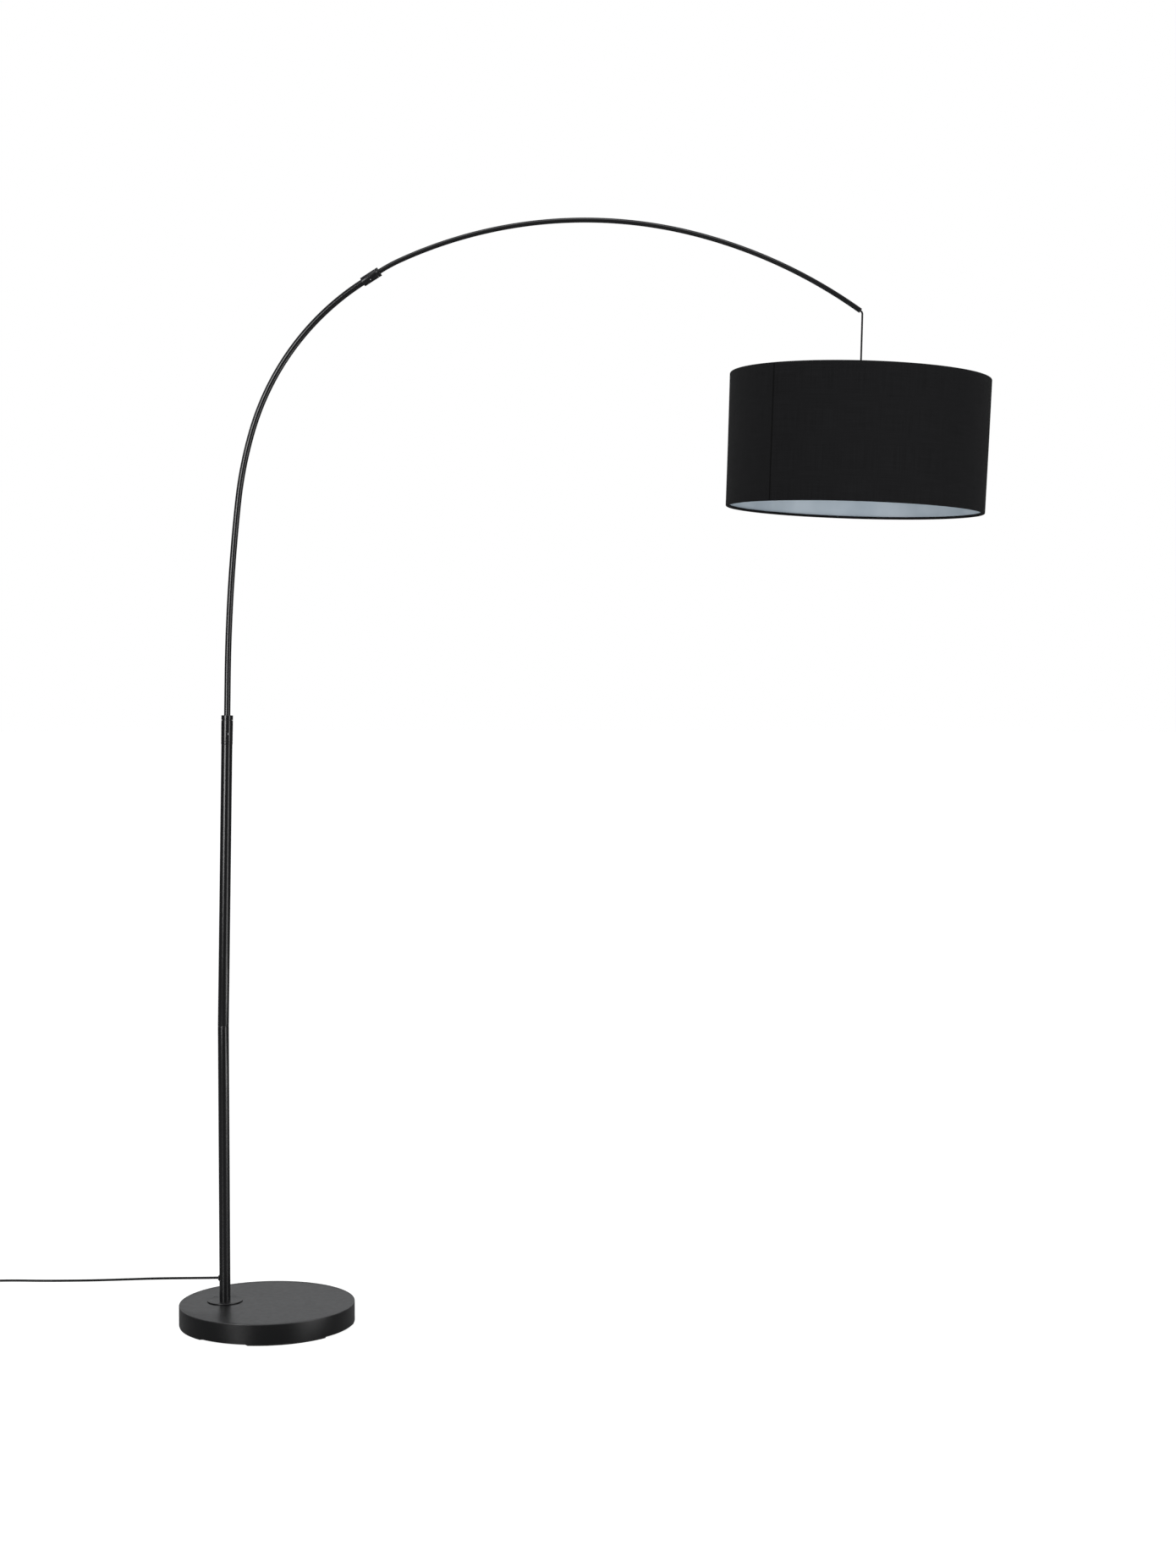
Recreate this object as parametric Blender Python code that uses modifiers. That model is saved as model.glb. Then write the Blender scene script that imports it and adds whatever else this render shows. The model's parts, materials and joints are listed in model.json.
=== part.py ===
"""An arc floor lamp: weighted round base, two-piece pole, two-piece curved arm and a hanging drum shade.

Metres, +Z up. The origin is on the floor under the middle of the base, and the arm reaches along +X.
"""

import math

import bpy
from mathutils import Matrix, Vector

# Fits
GAP = 0.0003
SLIDING = 0.00035
FEED = 0.0005
SMALL_CHAMFER = 0.0005
SMALL_EDGE = 0.0004
MOULDED_EDGE = 0.001

# Base
BASE_DIAMETER = 0.350
BASE_TOP = 0.042
BASE_EDGE = 0.0022
BASE_EDGE_ROUND = 0.29
COVER_WALL = 0.0012
WEIGHT_THICKNESS = 0.015
PLATE_THICKNESS = 0.0015
PAD_THICKNESS = 0.002
PAD_WIDTH = 0.022
PAD_SPAN = 57.0
PAD_COUNT = 4
FIRST_PAD_ANGLE = -62.6
CENTRE_PAD_DIAMETER = 0.040

# Pole
POLE_OFFSET = 0.0864
POLE_DIAMETER = 0.022
POLE_WALL = 0.0012
POLE_JOINT_HEIGHT = 0.597
POLE_JOINT_GAP = 0.0005
POLE_LEAN = 1.08
UPPER_POLE_LENGTH = 0.564
FLANGE_DIAMETER = 0.071
FLANGE_THICKNESS = 0.002
FOOT_INSERT_LENGTH = 0.028
COUPLING_LENGTH = 0.046
COUPLING_CLEARANCE = 0.0009
BOLT_DIAMETER = 0.010
BOLT_HEAD_DIAMETER = 0.017
BOLT_HEAD_HEIGHT = 0.005
BOLT_ENGAGEMENT = 0.020
WASHER_DIAMETER = 0.024
SPACER_RADIUS = 0.011
WASHER_THICKNESS = 0.0015
BOLT_RECESS = 0.0070
GROMMET_HEIGHT = 0.0885
GROMMET_NECK_WALL = 0.002
GROMMET_LIP = 0.00175
GROMMET_FLANGE = 0.0015
GROMMET_ROUND = 0.0007
GROMMET_INSIDE_BORE = 0.001
POLE_CABLE_BELOW_TOP = 0.231
CABLE_TURN_HEIGHT = 0.012
CABLE_TURN_WIDTH = 0.0025

# Clamp collar between pole and arm
COLLAR_STEP = 0.0005
COLLAR_LENGTH = 0.057
COLLAR_CAP_HEIGHT = 0.0092
COLLAR_SPIGOT_LENGTH = 0.030
COLLAR_GROOVE = 0.0006
COLLAR_HEAD_WALL = 0.002
CAP_SPIGOT_LENGTH = 0.004
FERRULE_LENGTH = 0.008
FERRULE_FILL = 0.62
GRUB_DIAMETER = 0.0034
GRUB_DEPTH = 0.0006
GRUB_ABOVE_COLLAR_FOOT = 0.0202
GRUB_ANGLE = -60.0
GRUB_SEGMENTS = 12
GRUB_HOLE_OVERRUN = 0.002
GRUB_SOCKET_WIDTH = 0.5
GRUB_SOCKET_FLOOR = 0.6
GRUB_CHAMFER = 0.2

# Arm
LOWER_ARC_DIAMETER = 0.0125
LOWER_ARC_WALL = 0.001
LOWER_ARC_BELOW_COLLAR = 0.060
LOWER_ARC_STRAIGHT = 0.075
LOWER_ARC_BENDS = ((0.3489, 3.6163), (0.1422, 0.7916), (0.3727, 0.5123))
UPPER_ARC_DIAMETER = 0.0097
UPPER_ARC_WALL = 0.001
UPPER_ARC_BENDS = ((0.0452, 0.3157), (0.5880, 0.8828), (0.3458, 0.9763))
UPPER_ARC_TIP_STRAIGHT = 0.012
BEND_STEP = 0.046
ARC_COLLAR_WALL = 0.00305
ARC_COLLAR_LENGTH = 0.0395
ARC_CAP_LENGTH = 0.0063
ARC_GRUB_DIAMETER = 0.0030
ARC_GRUB_ANGLE = -52.0
ARC_GRUB_BELOW_MIDDLE = 0.003
ARC_COLLAR_CLEARANCE = 0.0006
TIP_BUSH_LENGTH = 0.010
TIP_BUSH_FLANGE = 0.0012
TIP_BUSH_SHOULDER = 0.0001

# Cables and pendant
LAMP_CABLE_DIAMETER = 0.0036
PENDANT_BEND_RADIUS = 0.0080
PENDANT_BEND_TAIL = 0.004
KNUCKLE_GAP = 0.0009
PENDANT_DROP = 0.0989
PENDANT_SET_BACK = 0.0023

# Lampholder, bulb and shade
HOLDER_RADIUS = 0.0197
HOLDER_WALL = 0.0018
HOLDER_SKIRT = 0.022
HOLDER_NECK = 0.014
HOLDER_FLANGE_WIDTH = 0.0038
HOLDER_FLANGE_THICKNESS = 0.003
CAP_HEIGHT = 0.022
CAP_STRAIGHT = 0.0077
CAP_TOP_RADIUS = 0.0065
GRIP_RADIUS = 0.0052
GRIP_LENGTH = 0.012
INSERT_LENGTH = 0.014
INSERT_DEPTH = 0.001
CLAMP_RING_WIDTH = 0.0072
CLAMP_RING_HEIGHT = 0.006
HUB_RIM = 0.0028
HUB_THICKNESS = 0.002
BULB_CAP_RADIUS = 0.0131
BULB_CAP_LENGTH = 0.025
BULB_CAP_EDGE = 0.002
BULB_RADIUS = 0.030
BULB_LENGTH = 0.080
BULB_WALL = 0.0009
BULB_NECK_STEP = 0.0008
BULB_NECK_LENGTH = 0.012
BULB_NECK_FLARE = 0.002
SHADE_TOP_RADIUS = 0.2511
SHADE_BOTTOM_RADIUS = 0.2489
SHADE_HEIGHT = 0.256
SHADE_TILT = 2.2
SPIDER_DROP = 0.022
SKIN_THICKNESS = 0.0008
LINER_THICKNESS = 0.0006
HEM = 0.005
SHADE_WIRE_DIAMETER = 0.003
SPOKE_DIAMETER = 0.003
SPOKE_COUNT = 3
FIRST_SPOKE_ANGLE = 50.0
SPOKE_FLAT = 0.012

# Mains cord, switch and plug
MAINS_DIAMETER = 0.005
CORD_SPACING = 0.0135
CORD_ROUTE = (
    (-0.1019, 0.0000, 0.0885), (-0.1310, 0.0002, 0.0873), (-0.1754, 0.0086, 0.0837),
    (-0.2177, 0.0294, 0.0771), (-0.2615, 0.0631, 0.0671), (-0.3063, 0.1076, 0.0541),
    (-0.3514, 0.1542, 0.0406), (-0.3962, 0.1989, 0.0276), (-0.4401, 0.2346, 0.0170),
    (-0.4828, 0.2593, 0.0094), (-0.5244, 0.2725, 0.0048), (-0.5650, 0.2759, 0.0030),
    (-0.6049, 0.2740, 0.0029), (-0.6457, 0.2690, 0.0029), (-0.6860, 0.2590, 0.0029),
    (-0.7220, 0.2395, 0.0033), (-0.7490, 0.2110, 0.0045), (-0.7655, 0.1760, 0.0063),
    (-0.7700, 0.1540, 0.0070),
)
SWITCH_CENTRE = (-0.770, 0.0900)
SWITCH_LENGTH = 0.078
SWITCH_WIDTH = 0.032
SWITCH_BASE_HEIGHT = 0.004
SWITCH_COVER_HEIGHT = 0.012
SWITCH_COVER_EDGE = 0.002
BUTTON_LENGTH = 0.024
BUTTON_WIDTH = 0.018
BUTTON_HEIGHT = 0.0115
BUTTON_TRAVEL = 0.0025
BUTTON_CLEARANCE = 0.0004
BUTTON_FLOOR = 0.001
RELIEF_LENGTH = 0.024
RELIEF_FOOT_RADIUS = 0.0055
RELIEF_TIP_WALL = 0.0007
RELIEF_RIM = 0.001
CORD_IN_SWITCH_HEIGHT = 0.0070
SWITCH_LEAD_ROUTE = (
    (-0.7700, 0.0260, 0.0070), (-0.7706, 0.0140, 0.0058), (-0.7716, 0.0000, 0.0040),
    (-0.7724, -0.0140, 0.0030), (-0.7724, -0.0260, 0.0029),
)
COIL_CENTRE = (-0.735, -0.045)
COIL_INNER_RADIUS = 0.0172
COIL_OUTER_RADIUS = 0.0378
COIL_HEIGHT = 0.0099
COIL_EDGE = 0.002
PLUG_LEAD_ROUTE = (
    (-0.6985, -0.0240, 0.0068), (-0.6975, -0.0120, 0.0070), (-0.6960, 0.0000, 0.0071),
    (-0.6940, 0.0110, 0.0071),
)
PLUG_HEADING = 80.0
PLUG_RELIEF_LENGTH = 0.022
PLUG_RELIEF_FOOT_RADIUS = 0.0058
PLUG_LENGTH = 0.034
PLUG_WIDTH = 0.030
PLUG_HEIGHT = 0.0135
PLUG_EDGE = 0.003
PIN_DIAMETER = 0.004
PIN_LENGTH = 0.019
PIN_TIP = 0.0006
PIN_SPREAD = 0.019

BASE_SEGMENTS = 64
SHADE_SEGMENTS = 48
PIECE_SEGMENTS = 24
SMALL_SEGMENTS = 16


def clear_scene():
    for old in list(bpy.data.objects):
        bpy.data.objects.remove(old, do_unlink=True)


def collection(name):
    made = bpy.data.collections.new(name)
    bpy.context.scene.collection.children.link(made)
    return made


def material(name, colour, roughness, metallic=0.0):
    made = bpy.data.materials.new(name)
    made.use_nodes = True
    shader = made.node_tree.nodes["Principled BSDF"]
    shader.inputs["Base Color"].default_value = (*colour, 1.0)
    shader.inputs["Roughness"].default_value = roughness
    shader.inputs["Metallic"].default_value = metallic
    made.diffuse_color = (*colour, 1.0)
    return made


clear_scene()
LAMP = collection("arc_floor_lamp")
CUTTERS = collection("cutters")

BLACK_COAT = material("black_powder_coat", (0.030, 0.030, 0.032), 0.38)
BLACK_TUBE = material("black_satin_tube", (0.018, 0.018, 0.020), 0.27)
BLACK_FABRIC = material("black_shade_fabric", (0.016, 0.016, 0.018), 0.9)
LINER_WHITE = material("white_liner", (0.72, 0.73, 0.76), 0.6)
STEEL = material("zinc_steel", (0.55, 0.55, 0.56), 0.35, 1.0)
IRON = material("cast_iron", (0.13, 0.13, 0.13), 0.8, 0.6)
RUBBER = material("black_rubber", (0.02, 0.02, 0.02), 0.85)
CABLE = material("black_cable", (0.015, 0.015, 0.016), 0.5)
PLASTIC = material("black_plastic", (0.02, 0.02, 0.02), 0.42)
BRASS = material("bulb_brass", (0.75, 0.62, 0.35), 0.3, 1.0)
GLASS = material("frosted_glass", (0.92, 0.93, 0.92), 0.35)


def frame(name, location, parent=None, tilt=0.0, turn=0.0):
    """An empty that pieces are placed from: turned about Z, then tilted about its own Y."""
    made = bpy.data.objects.new(name, None)
    made.location = location
    made.rotation_euler = (0.0, math.radians(tilt), math.radians(turn))
    made.parent = parent
    LAMP.objects.link(made)
    return made


def add_object(name, data, paint, parent=None, location=(0, 0, 0), rotation=(0, 0, 0)):
    made = bpy.data.objects.new(name, data)
    made.location = location
    made.rotation_euler = rotation
    made.parent = parent
    data.materials.append(paint)
    LAMP.objects.link(made)
    return made


def ring_profile(inner, outer, low, high, edge=0.0):
    """The closed section of a ring: down its outer side, then back up the bore."""
    if edge == 0.0:
        return [(outer, high), (outer, low), (inner, low), (inner, high)]
    return [(outer - edge, high), (outer, high - edge), (outer, low + edge), (outer - edge, low),
            (inner, low), (inner, high)]


def disc_profile(outer, low, high, edge=0.0):
    """The open section of a solid disc, from its axis out, down and back to its axis."""
    if edge == 0.0:
        return [(0.0, high), (outer, high), (outer, low), (0.0, low)]
    return [(0.0, high), (outer - edge, high), (outer, high - edge), (outer, low + edge),
            (outer - edge, low), (0.0, low)]


def turned(name, profile, paint, segments=PIECE_SEGMENTS, **place):
    """A section of (radius, height) points turned about Z with a Screw modifier."""
    mesh = bpy.data.meshes.new(name)
    count = len(profile)
    edges = [(i, i + 1) for i in range(count - 1)]
    if profile[0][0] > 0.0:
        edges.append((count - 1, 0))
    mesh.from_pydata([(radius, 0.0, height) for radius, height in profile], edges, [])
    made = add_object(name, mesh, paint, **place)
    screw = made.modifiers.new("Turn", "SCREW")
    screw.axis = "Z"
    screw.steps = segments
    screw.render_steps = segments
    screw.use_merge_vertices = True
    screw.merge_threshold = 0.00001
    screw.use_smooth_shade = True
    return made


def box(name, size, paint, edge=0.0, **place):
    """A block with its middle at its origin, with rounded edges."""
    bpy.ops.mesh.primitive_cube_add(size=1.0)
    made = bpy.context.object
    mesh = made.data
    mesh.transform(Matrix.Diagonal((*size, 1.0)))
    bpy.data.objects.remove(made)
    mesh.name = name
    made = add_object(name, mesh, paint, **place)
    if edge > 0.0:
        bevel = made.modifiers.new("Round edges", "BEVEL")
        bevel.width = edge
        bevel.segments = 2
    return made


def curve_data(name, points, radius, resolution, caps):
    data = bpy.data.curves.new(name, "CURVE")
    data.dimensions = "3D"
    data.bevel_depth = radius
    data.bevel_resolution = resolution
    data.use_fill_caps = caps
    spline = data.splines.new("POLY")
    spline.points.add(len(points) - 1)
    for place, point in zip(spline.points, points):
        place.co = (*point, 1.0)
    return data


def rod(name, points, diameter, paint, resolution=2, **place):
    """A solid round wire or cable along its points."""
    return add_object(name, curve_data(name, points, diameter / 2, resolution, True), paint, **place)


def pipe(name, points, diameter, wall, paint, **place):
    """A bent tube with a bore: the open sleeve of a bevelled curve, thickened inwards."""
    guide = bpy.data.objects.new(name + "_guide", curve_data(name, points, diameter / 2, 4, False))
    LAMP.objects.link(guide)
    bpy.context.view_layer.update()
    sleeve = guide.evaluated_get(bpy.context.evaluated_depsgraph_get())
    mesh = bpy.data.meshes.new_from_object(sleeve)
    bpy.data.objects.remove(guide)
    mesh.name = name
    mesh.shade_smooth()
    made = add_object(name, mesh, paint, **place)
    thick = made.modifiers.new("Wall", "SOLIDIFY")
    thick.thickness = wall
    thick.offset = -1.0
    thick.use_even_offset = True
    return made


def drill(targets, name, radius, start, direction, length, parent=None):
    """A round hole from start along direction, cut from each target."""
    axis = Vector(direction).normalized()
    bpy.ops.mesh.primitive_cylinder_add(vertices=SMALL_SEGMENTS, radius=radius, depth=length)
    drawn = bpy.context.object
    mesh = drawn.data
    bpy.data.objects.remove(drawn)
    made = bpy.data.objects.new(name, mesh)
    made.rotation_mode = "QUATERNION"
    made.rotation_quaternion = axis.to_track_quat("Z", "Y")
    made.location = Vector(start) + axis * (length / 2)
    made.parent = parent
    made.hide_render = True
    made.display_type = "WIRE"
    CUTTERS.objects.link(made)
    for target in targets:
        cut = target.modifiers.new(name, "BOOLEAN")
        cut.operation = "DIFFERENCE"
        cut.solver = "EXACT"
        cut.object = made
    return made


def bend_points(start, heading, runs):
    """Points along runs of (length, radius) in the XZ plane, bending downwards; radius None is straight."""
    x, z = start
    points = [(x, 0.0, z)]
    for length, radius in runs:
        steps = 1 if radius is None else max(2, math.ceil(length / BEND_STEP))
        turn = 0.0 if radius is None else length / steps / radius
        stride = length / steps
        chord = stride if radius is None else 2 * radius * math.sin(turn / 2)
        for _ in range(steps):
            x += chord * math.cos(heading - turn / 2)
            z += chord * math.sin(heading - turn / 2)
            heading -= turn
            points.append((x, 0.0, z))
    return points, heading


def smooth_route(route, spacing):
    """Evenly spaced points on a Catmull-Rom curve through the route's own points."""
    knots = [Vector(point) for point in route]
    knots = [2 * knots[0] - knots[1], *knots, 2 * knots[-1] - knots[-2]]
    fine = [knots[1]]
    for a, b, c, d in zip(knots, knots[1:], knots[2:], knots[3:]):
        for step in range(1, 13):
            t = step / 12
            fine.append(0.5 * (2 * b + (c - a) * t + (2 * a - 5 * b + 4 * c - d) * t**2
                               + (3 * b - a - 3 * c + d) * t**3))
    lengths = [0.0]
    for a, b in zip(fine, fine[1:]):
        lengths.append(lengths[-1] + (b - a).length)
    count = max(2, round(lengths[-1] / spacing))
    points = []
    index = 0
    for number in range(count + 1):
        along = lengths[-1] * number / count
        while index < len(fine) - 2 and lengths[index + 1] < along:
            index += 1
        share = (along - lengths[index]) / (lengths[index + 1] - lengths[index])
        points.append(fine[index].lerp(fine[index + 1], share))
    return points


def polar(radius, degrees):
    angle = math.radians(degrees)
    return radius * math.cos(angle), radius * math.sin(angle)


# Heights and radii that follow from the driving dimensions
BASE_RADIUS = BASE_DIAMETER / 2
PLATE_BOTTOM = PAD_THICKNESS + GAP
PLATE_TOP = PLATE_BOTTOM + PLATE_THICKNESS
WEIGHT_TOP = PLATE_TOP + GAP + WEIGHT_THICKNESS
COVER_UNDERSIDE = BASE_TOP - COVER_WALL
RECESS_TOP = PLATE_TOP + GAP + BOLT_RECESS
FLANGE_TOP = BASE_TOP + GAP + FLANGE_THICKNESS
POLE_RADIUS = POLE_DIAMETER / 2
POLE_BORE = POLE_RADIUS - POLE_WALL
BOLT_HOLE = BOLT_DIAMETER / 2 + GAP
ARC_RADIUS = LOWER_ARC_DIAMETER / 2
ARC_BORE = ARC_RADIUS + SLIDING
CABLE_RADIUS = LAMP_CABLE_DIAMETER / 2
CABLE_FEED = CABLE_RADIUS + FEED
GROMMET_NECK = MAINS_DIAMETER / 2 + GROMMET_NECK_WALL
GROMMET_RADIUS = GROMMET_NECK + GROMMET_LIP
CLAMP_RING_RADIUS = HOLDER_RADIUS + GAP + CLAMP_RING_WIDTH
HUB_RADIUS = CLAMP_RING_RADIUS + HUB_RIM
POLE_CABLE_TOP = POLE_JOINT_HEIGHT + UPPER_POLE_LENGTH - POLE_CABLE_BELOW_TOP


def make_base():
    inner = BASE_RADIUS - COVER_WALL
    cover = turned("base_cover", [
        (0.0, BASE_TOP), (BASE_RADIUS - BASE_EDGE, BASE_TOP),
        (BASE_RADIUS - BASE_EDGE * BASE_EDGE_ROUND, BASE_TOP - BASE_EDGE * BASE_EDGE_ROUND),
        (BASE_RADIUS, BASE_TOP - BASE_EDGE), (BASE_RADIUS, PLATE_BOTTOM),
        (inner, PLATE_BOTTOM), (inner, COVER_UNDERSIDE), (0.0, COVER_UNDERSIDE),
    ], BLACK_COAT, BASE_SEGMENTS)
    fitted = inner - 2 * GAP
    weight = turned("base_weight", disc_profile(fitted - GAP, PLATE_TOP + GAP, WEIGHT_TOP), IRON,
                    BASE_SEGMENTS)
    plate = turned("base_plate", disc_profile(fitted, PLATE_BOTTOM, PLATE_TOP), PLASTIC, BASE_SEGMENTS)
    foot = (-POLE_OFFSET, 0.0, 0.0)
    turned("base_spacer", ring_profile(BOLT_HOLE, SPACER_RADIUS, WEIGHT_TOP + GAP, COVER_UNDERSIDE - GAP),
           STEEL, SMALL_SEGMENTS, location=foot)
    drill([cover, weight], "bolt_hole_cutter", BOLT_HOLE, foot, (0, 0, 1), BASE_TOP + FLANGE_THICKNESS)
    drill([weight, plate], "bolt_recess_cutter", WASHER_DIAMETER / 2 + GAP, foot, (0, 0, 1), RECESS_TOP)
    make_pads()


def make_pads():
    middle = BASE_RADIUS - COVER_WALL - PAD_WIDTH / 2
    steps = 10
    for number in range(PAD_COUNT):
        centre = FIRST_PAD_ANGLE + number * 360.0 / PAD_COUNT
        angles = [centre - PAD_SPAN / 2 + PAD_SPAN * step / steps for step in range(steps + 1)]
        outer = [(*polar(middle + PAD_WIDTH / 2, angle), 0.0) for angle in angles]
        inner = [(*polar(middle - PAD_WIDTH / 2, angle), 0.0) for angle in reversed(angles)]
        outline(f"foot_pad_{number + 1}", outer + inner, PAD_THICKNESS, RUBBER)
    turned("centre_pad", disc_profile(CENTRE_PAD_DIAMETER / 2, 0.0, PAD_THICKNESS), RUBBER, SMALL_SEGMENTS)


def outline(name, points, thickness, paint):
    """A flat outline filled and extruded up from the floor."""
    data = bpy.data.curves.new(name, "CURVE")
    data.dimensions = "2D"
    data.fill_mode = "BOTH"
    data.extrude = thickness / 2
    spline = data.splines.new("POLY")
    spline.points.add(len(points) - 1)
    for place, point in zip(spline.points, points):
        place.co = (*point, 1.0)
    spline.use_cyclic_u = True
    return add_object(name, data, paint, location=(0.0, 0.0, thickness / 2))


def make_lower_pole():
    foot = frame("pole_foot_frame", (-POLE_OFFSET, 0.0, 0.0))
    turned("foot_flange",
           ring_profile(BOLT_HOLE, FLANGE_DIAMETER / 2, BASE_TOP + GAP, FLANGE_TOP, SMALL_EDGE),
           BLACK_COAT, parent=foot)
    insert_bottom = FLANGE_TOP + GAP
    insert = POLE_BORE - GAP
    turned("foot_insert", ring_profile(BOLT_HOLE, insert, insert_bottom, insert_bottom + FOOT_INSERT_LENGTH),
           STEEL, parent=foot)
    washer_bottom = RECESS_TOP - GAP - WASHER_THICKNESS
    turned("base_washer",
           ring_profile(BOLT_HOLE, WASHER_DIAMETER / 2, washer_bottom, RECESS_TOP - GAP), STEEL,
           SMALL_SEGMENTS, parent=foot)
    head_top = washer_bottom - GAP
    turned("base_bolt", [
        (0.0, insert_bottom + BOLT_ENGAGEMENT), (BOLT_DIAMETER / 2, insert_bottom + BOLT_ENGAGEMENT),
        (BOLT_DIAMETER / 2, head_top), (BOLT_HEAD_DIAMETER / 2, head_top),
        (BOLT_HEAD_DIAMETER / 2, head_top - BOLT_HEAD_HEIGHT), (0.0, head_top - BOLT_HEAD_HEIGHT),
    ], STEEL, SMALL_SEGMENTS, parent=foot)
    pole_top = POLE_JOINT_HEIGHT - POLE_JOINT_GAP / 2
    tube = turned("lower_pole_tube", ring_profile(POLE_BORE, POLE_RADIUS, FLANGE_TOP + GAP, pole_top),
                  BLACK_TUBE, parent=foot)
    drill([tube], "grommet_hole_cutter", GROMMET_NECK + GAP, (0, 0, GROMMET_HEIGHT),
          (-1, 0, 0), POLE_DIAMETER, parent=foot)
    feed = MAINS_DIAMETER / 2 + GAP
    face = POLE_RADIUS + GAP
    inside = POLE_BORE - GROMMET_INSIDE_BORE
    turned("cord_grommet", [
        (GROMMET_RADIUS - GROMMET_ROUND, face + GROMMET_FLANGE),
        (GROMMET_RADIUS, face + GROMMET_FLANGE - GROMMET_ROUND), (GROMMET_RADIUS, face),
        (GROMMET_NECK, face), (GROMMET_NECK, inside), (feed, inside), (feed, face + GROMMET_FLANGE),
    ], RUBBER, SMALL_SEGMENTS, parent=foot, location=(0, 0, GROMMET_HEIGHT),
        rotation=(0, -math.pi / 2, 0))
    half = COUPLING_LENGTH / 2
    turned("pole_coupling",
           ring_profile(BOLT_HOLE, POLE_BORE - COUPLING_CLEARANCE, POLE_JOINT_HEIGHT - half,
                        POLE_JOINT_HEIGHT + half), STEEL, parent=foot)
    inlet = face + GROMMET_FLANGE - FEED
    drift = (POLE_CABLE_TOP - POLE_JOINT_HEIGHT) * math.tan(math.radians(POLE_LEAN))
    rise = (
        (-inlet, 0.0, GROMMET_HEIGHT), (-POLE_BORE + CABLE_RADIUS, 0.0, GROMMET_HEIGHT),
        (-CABLE_TURN_WIDTH, 0.0, GROMMET_HEIGHT + CABLE_TURN_HEIGHT / 3),
        (0.0, 0.0, GROMMET_HEIGHT + CABLE_TURN_HEIGHT),
        (0.0, 0.0, POLE_JOINT_HEIGHT), (drift, 0.0, POLE_CABLE_TOP),
    )
    rod("pole_cable", rise, LAMP_CABLE_DIAMETER, CABLE, parent=foot)


def grub(name, diameter, inner, outer, angle, height, parent, target):
    """A radial set screw with a blind socket, in a hole cut through one side of target."""
    direction = Vector((*polar(1.0, angle), 0.0))
    seat = Vector((0.0, 0.0, height))
    radius = diameter / 2
    length = outer - inner
    drill([target], name + "_hole_cutter", radius + GAP, direction * (inner - GRUB_HOLE_OVERRUN) + seat,
          direction, length + 2 * GRUB_HOLE_OVERRUN, parent=parent)
    floor = length * GRUB_SOCKET_FLOOR
    socket = radius * GRUB_SOCKET_WIDTH
    chamfer = radius * GRUB_CHAMFER
    made = turned(name, [
        (0.0, floor), (socket, floor), (socket, length), (radius - chamfer, length),
        (radius, length - chamfer), (radius, chamfer), (radius - chamfer, 0.0), (0.0, 0.0),
    ], STEEL, GRUB_SEGMENTS, parent=parent, location=direction * inner + seat)
    made.rotation_euler = direction.to_track_quat("Z", "Y").to_euler()
    return made


COLLAR_FOOT = UPPER_POLE_LENGTH + GAP
COLLAR_TOP = COLLAR_FOOT + COLLAR_LENGTH
HEAD_TOP = COLLAR_TOP - COLLAR_CAP_HEIGHT - COLLAR_GROOVE
FERRULE_FOOT = HEAD_TOP - CAP_SPIGOT_LENGTH - 2 * GAP - FERRULE_LENGTH
COLLAR_RADIUS = POLE_RADIUS + COLLAR_STEP
COUNTERBORE = COLLAR_RADIUS - COLLAR_HEAD_WALL
FERRULE_RADIUS = ARC_BORE + FERRULE_FILL * (COUNTERBORE - ARC_BORE)
UPPER_RADIUS = UPPER_ARC_DIAMETER / 2
LEAN = Matrix.Rotation(math.radians(POLE_LEAN), 4, "Y")
POLE_JOINT = Vector((-POLE_OFFSET, 0.0, POLE_JOINT_HEIGHT))


def make_upper_pole(leaning):
    turned("upper_pole_tube", ring_profile(POLE_BORE, POLE_RADIUS, POLE_JOINT_GAP / 2, UPPER_POLE_LENGTH),
           BLACK_TUBE, parent=leaning)
    spigot = POLE_BORE - GAP
    seat = FERRULE_FOOT - GAP
    body = turned("collar_body", [
        (COLLAR_RADIUS, HEAD_TOP), (COLLAR_RADIUS, COLLAR_FOOT), (spigot, COLLAR_FOOT),
        (spigot, COLLAR_FOOT - COLLAR_SPIGOT_LENGTH), (ARC_BORE, COLLAR_FOOT - COLLAR_SPIGOT_LENGTH),
        (ARC_BORE, seat), (COUNTERBORE, seat), (COUNTERBORE, HEAD_TOP),
    ], BLACK_TUBE, parent=leaning)
    cap_foot = HEAD_TOP + COLLAR_GROOVE
    cap_spigot = COUNTERBORE - GAP
    spigot_foot = HEAD_TOP - CAP_SPIGOT_LENGTH
    turned("collar_cap", [
        (COLLAR_RADIUS - SMALL_CHAMFER, COLLAR_TOP), (COLLAR_RADIUS, COLLAR_TOP - SMALL_CHAMFER),
        (COLLAR_RADIUS, cap_foot), (cap_spigot, cap_foot), (cap_spigot, spigot_foot),
        (ARC_BORE, spigot_foot), (ARC_BORE, COLLAR_TOP),
    ], BLACK_TUBE, parent=leaning)
    turned("collar_ferrule",
           ring_profile(ARC_BORE, FERRULE_RADIUS, FERRULE_FOOT, FERRULE_FOOT + FERRULE_LENGTH),
           PLASTIC, parent=leaning)
    grub("collar_grub_screw", GRUB_DIAMETER, ARC_BORE, COLLAR_RADIUS - GRUB_DEPTH, GRUB_ANGLE,
         COLLAR_FOOT + GRUB_ABOVE_COLLAR_FOOT, leaning, body)


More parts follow.
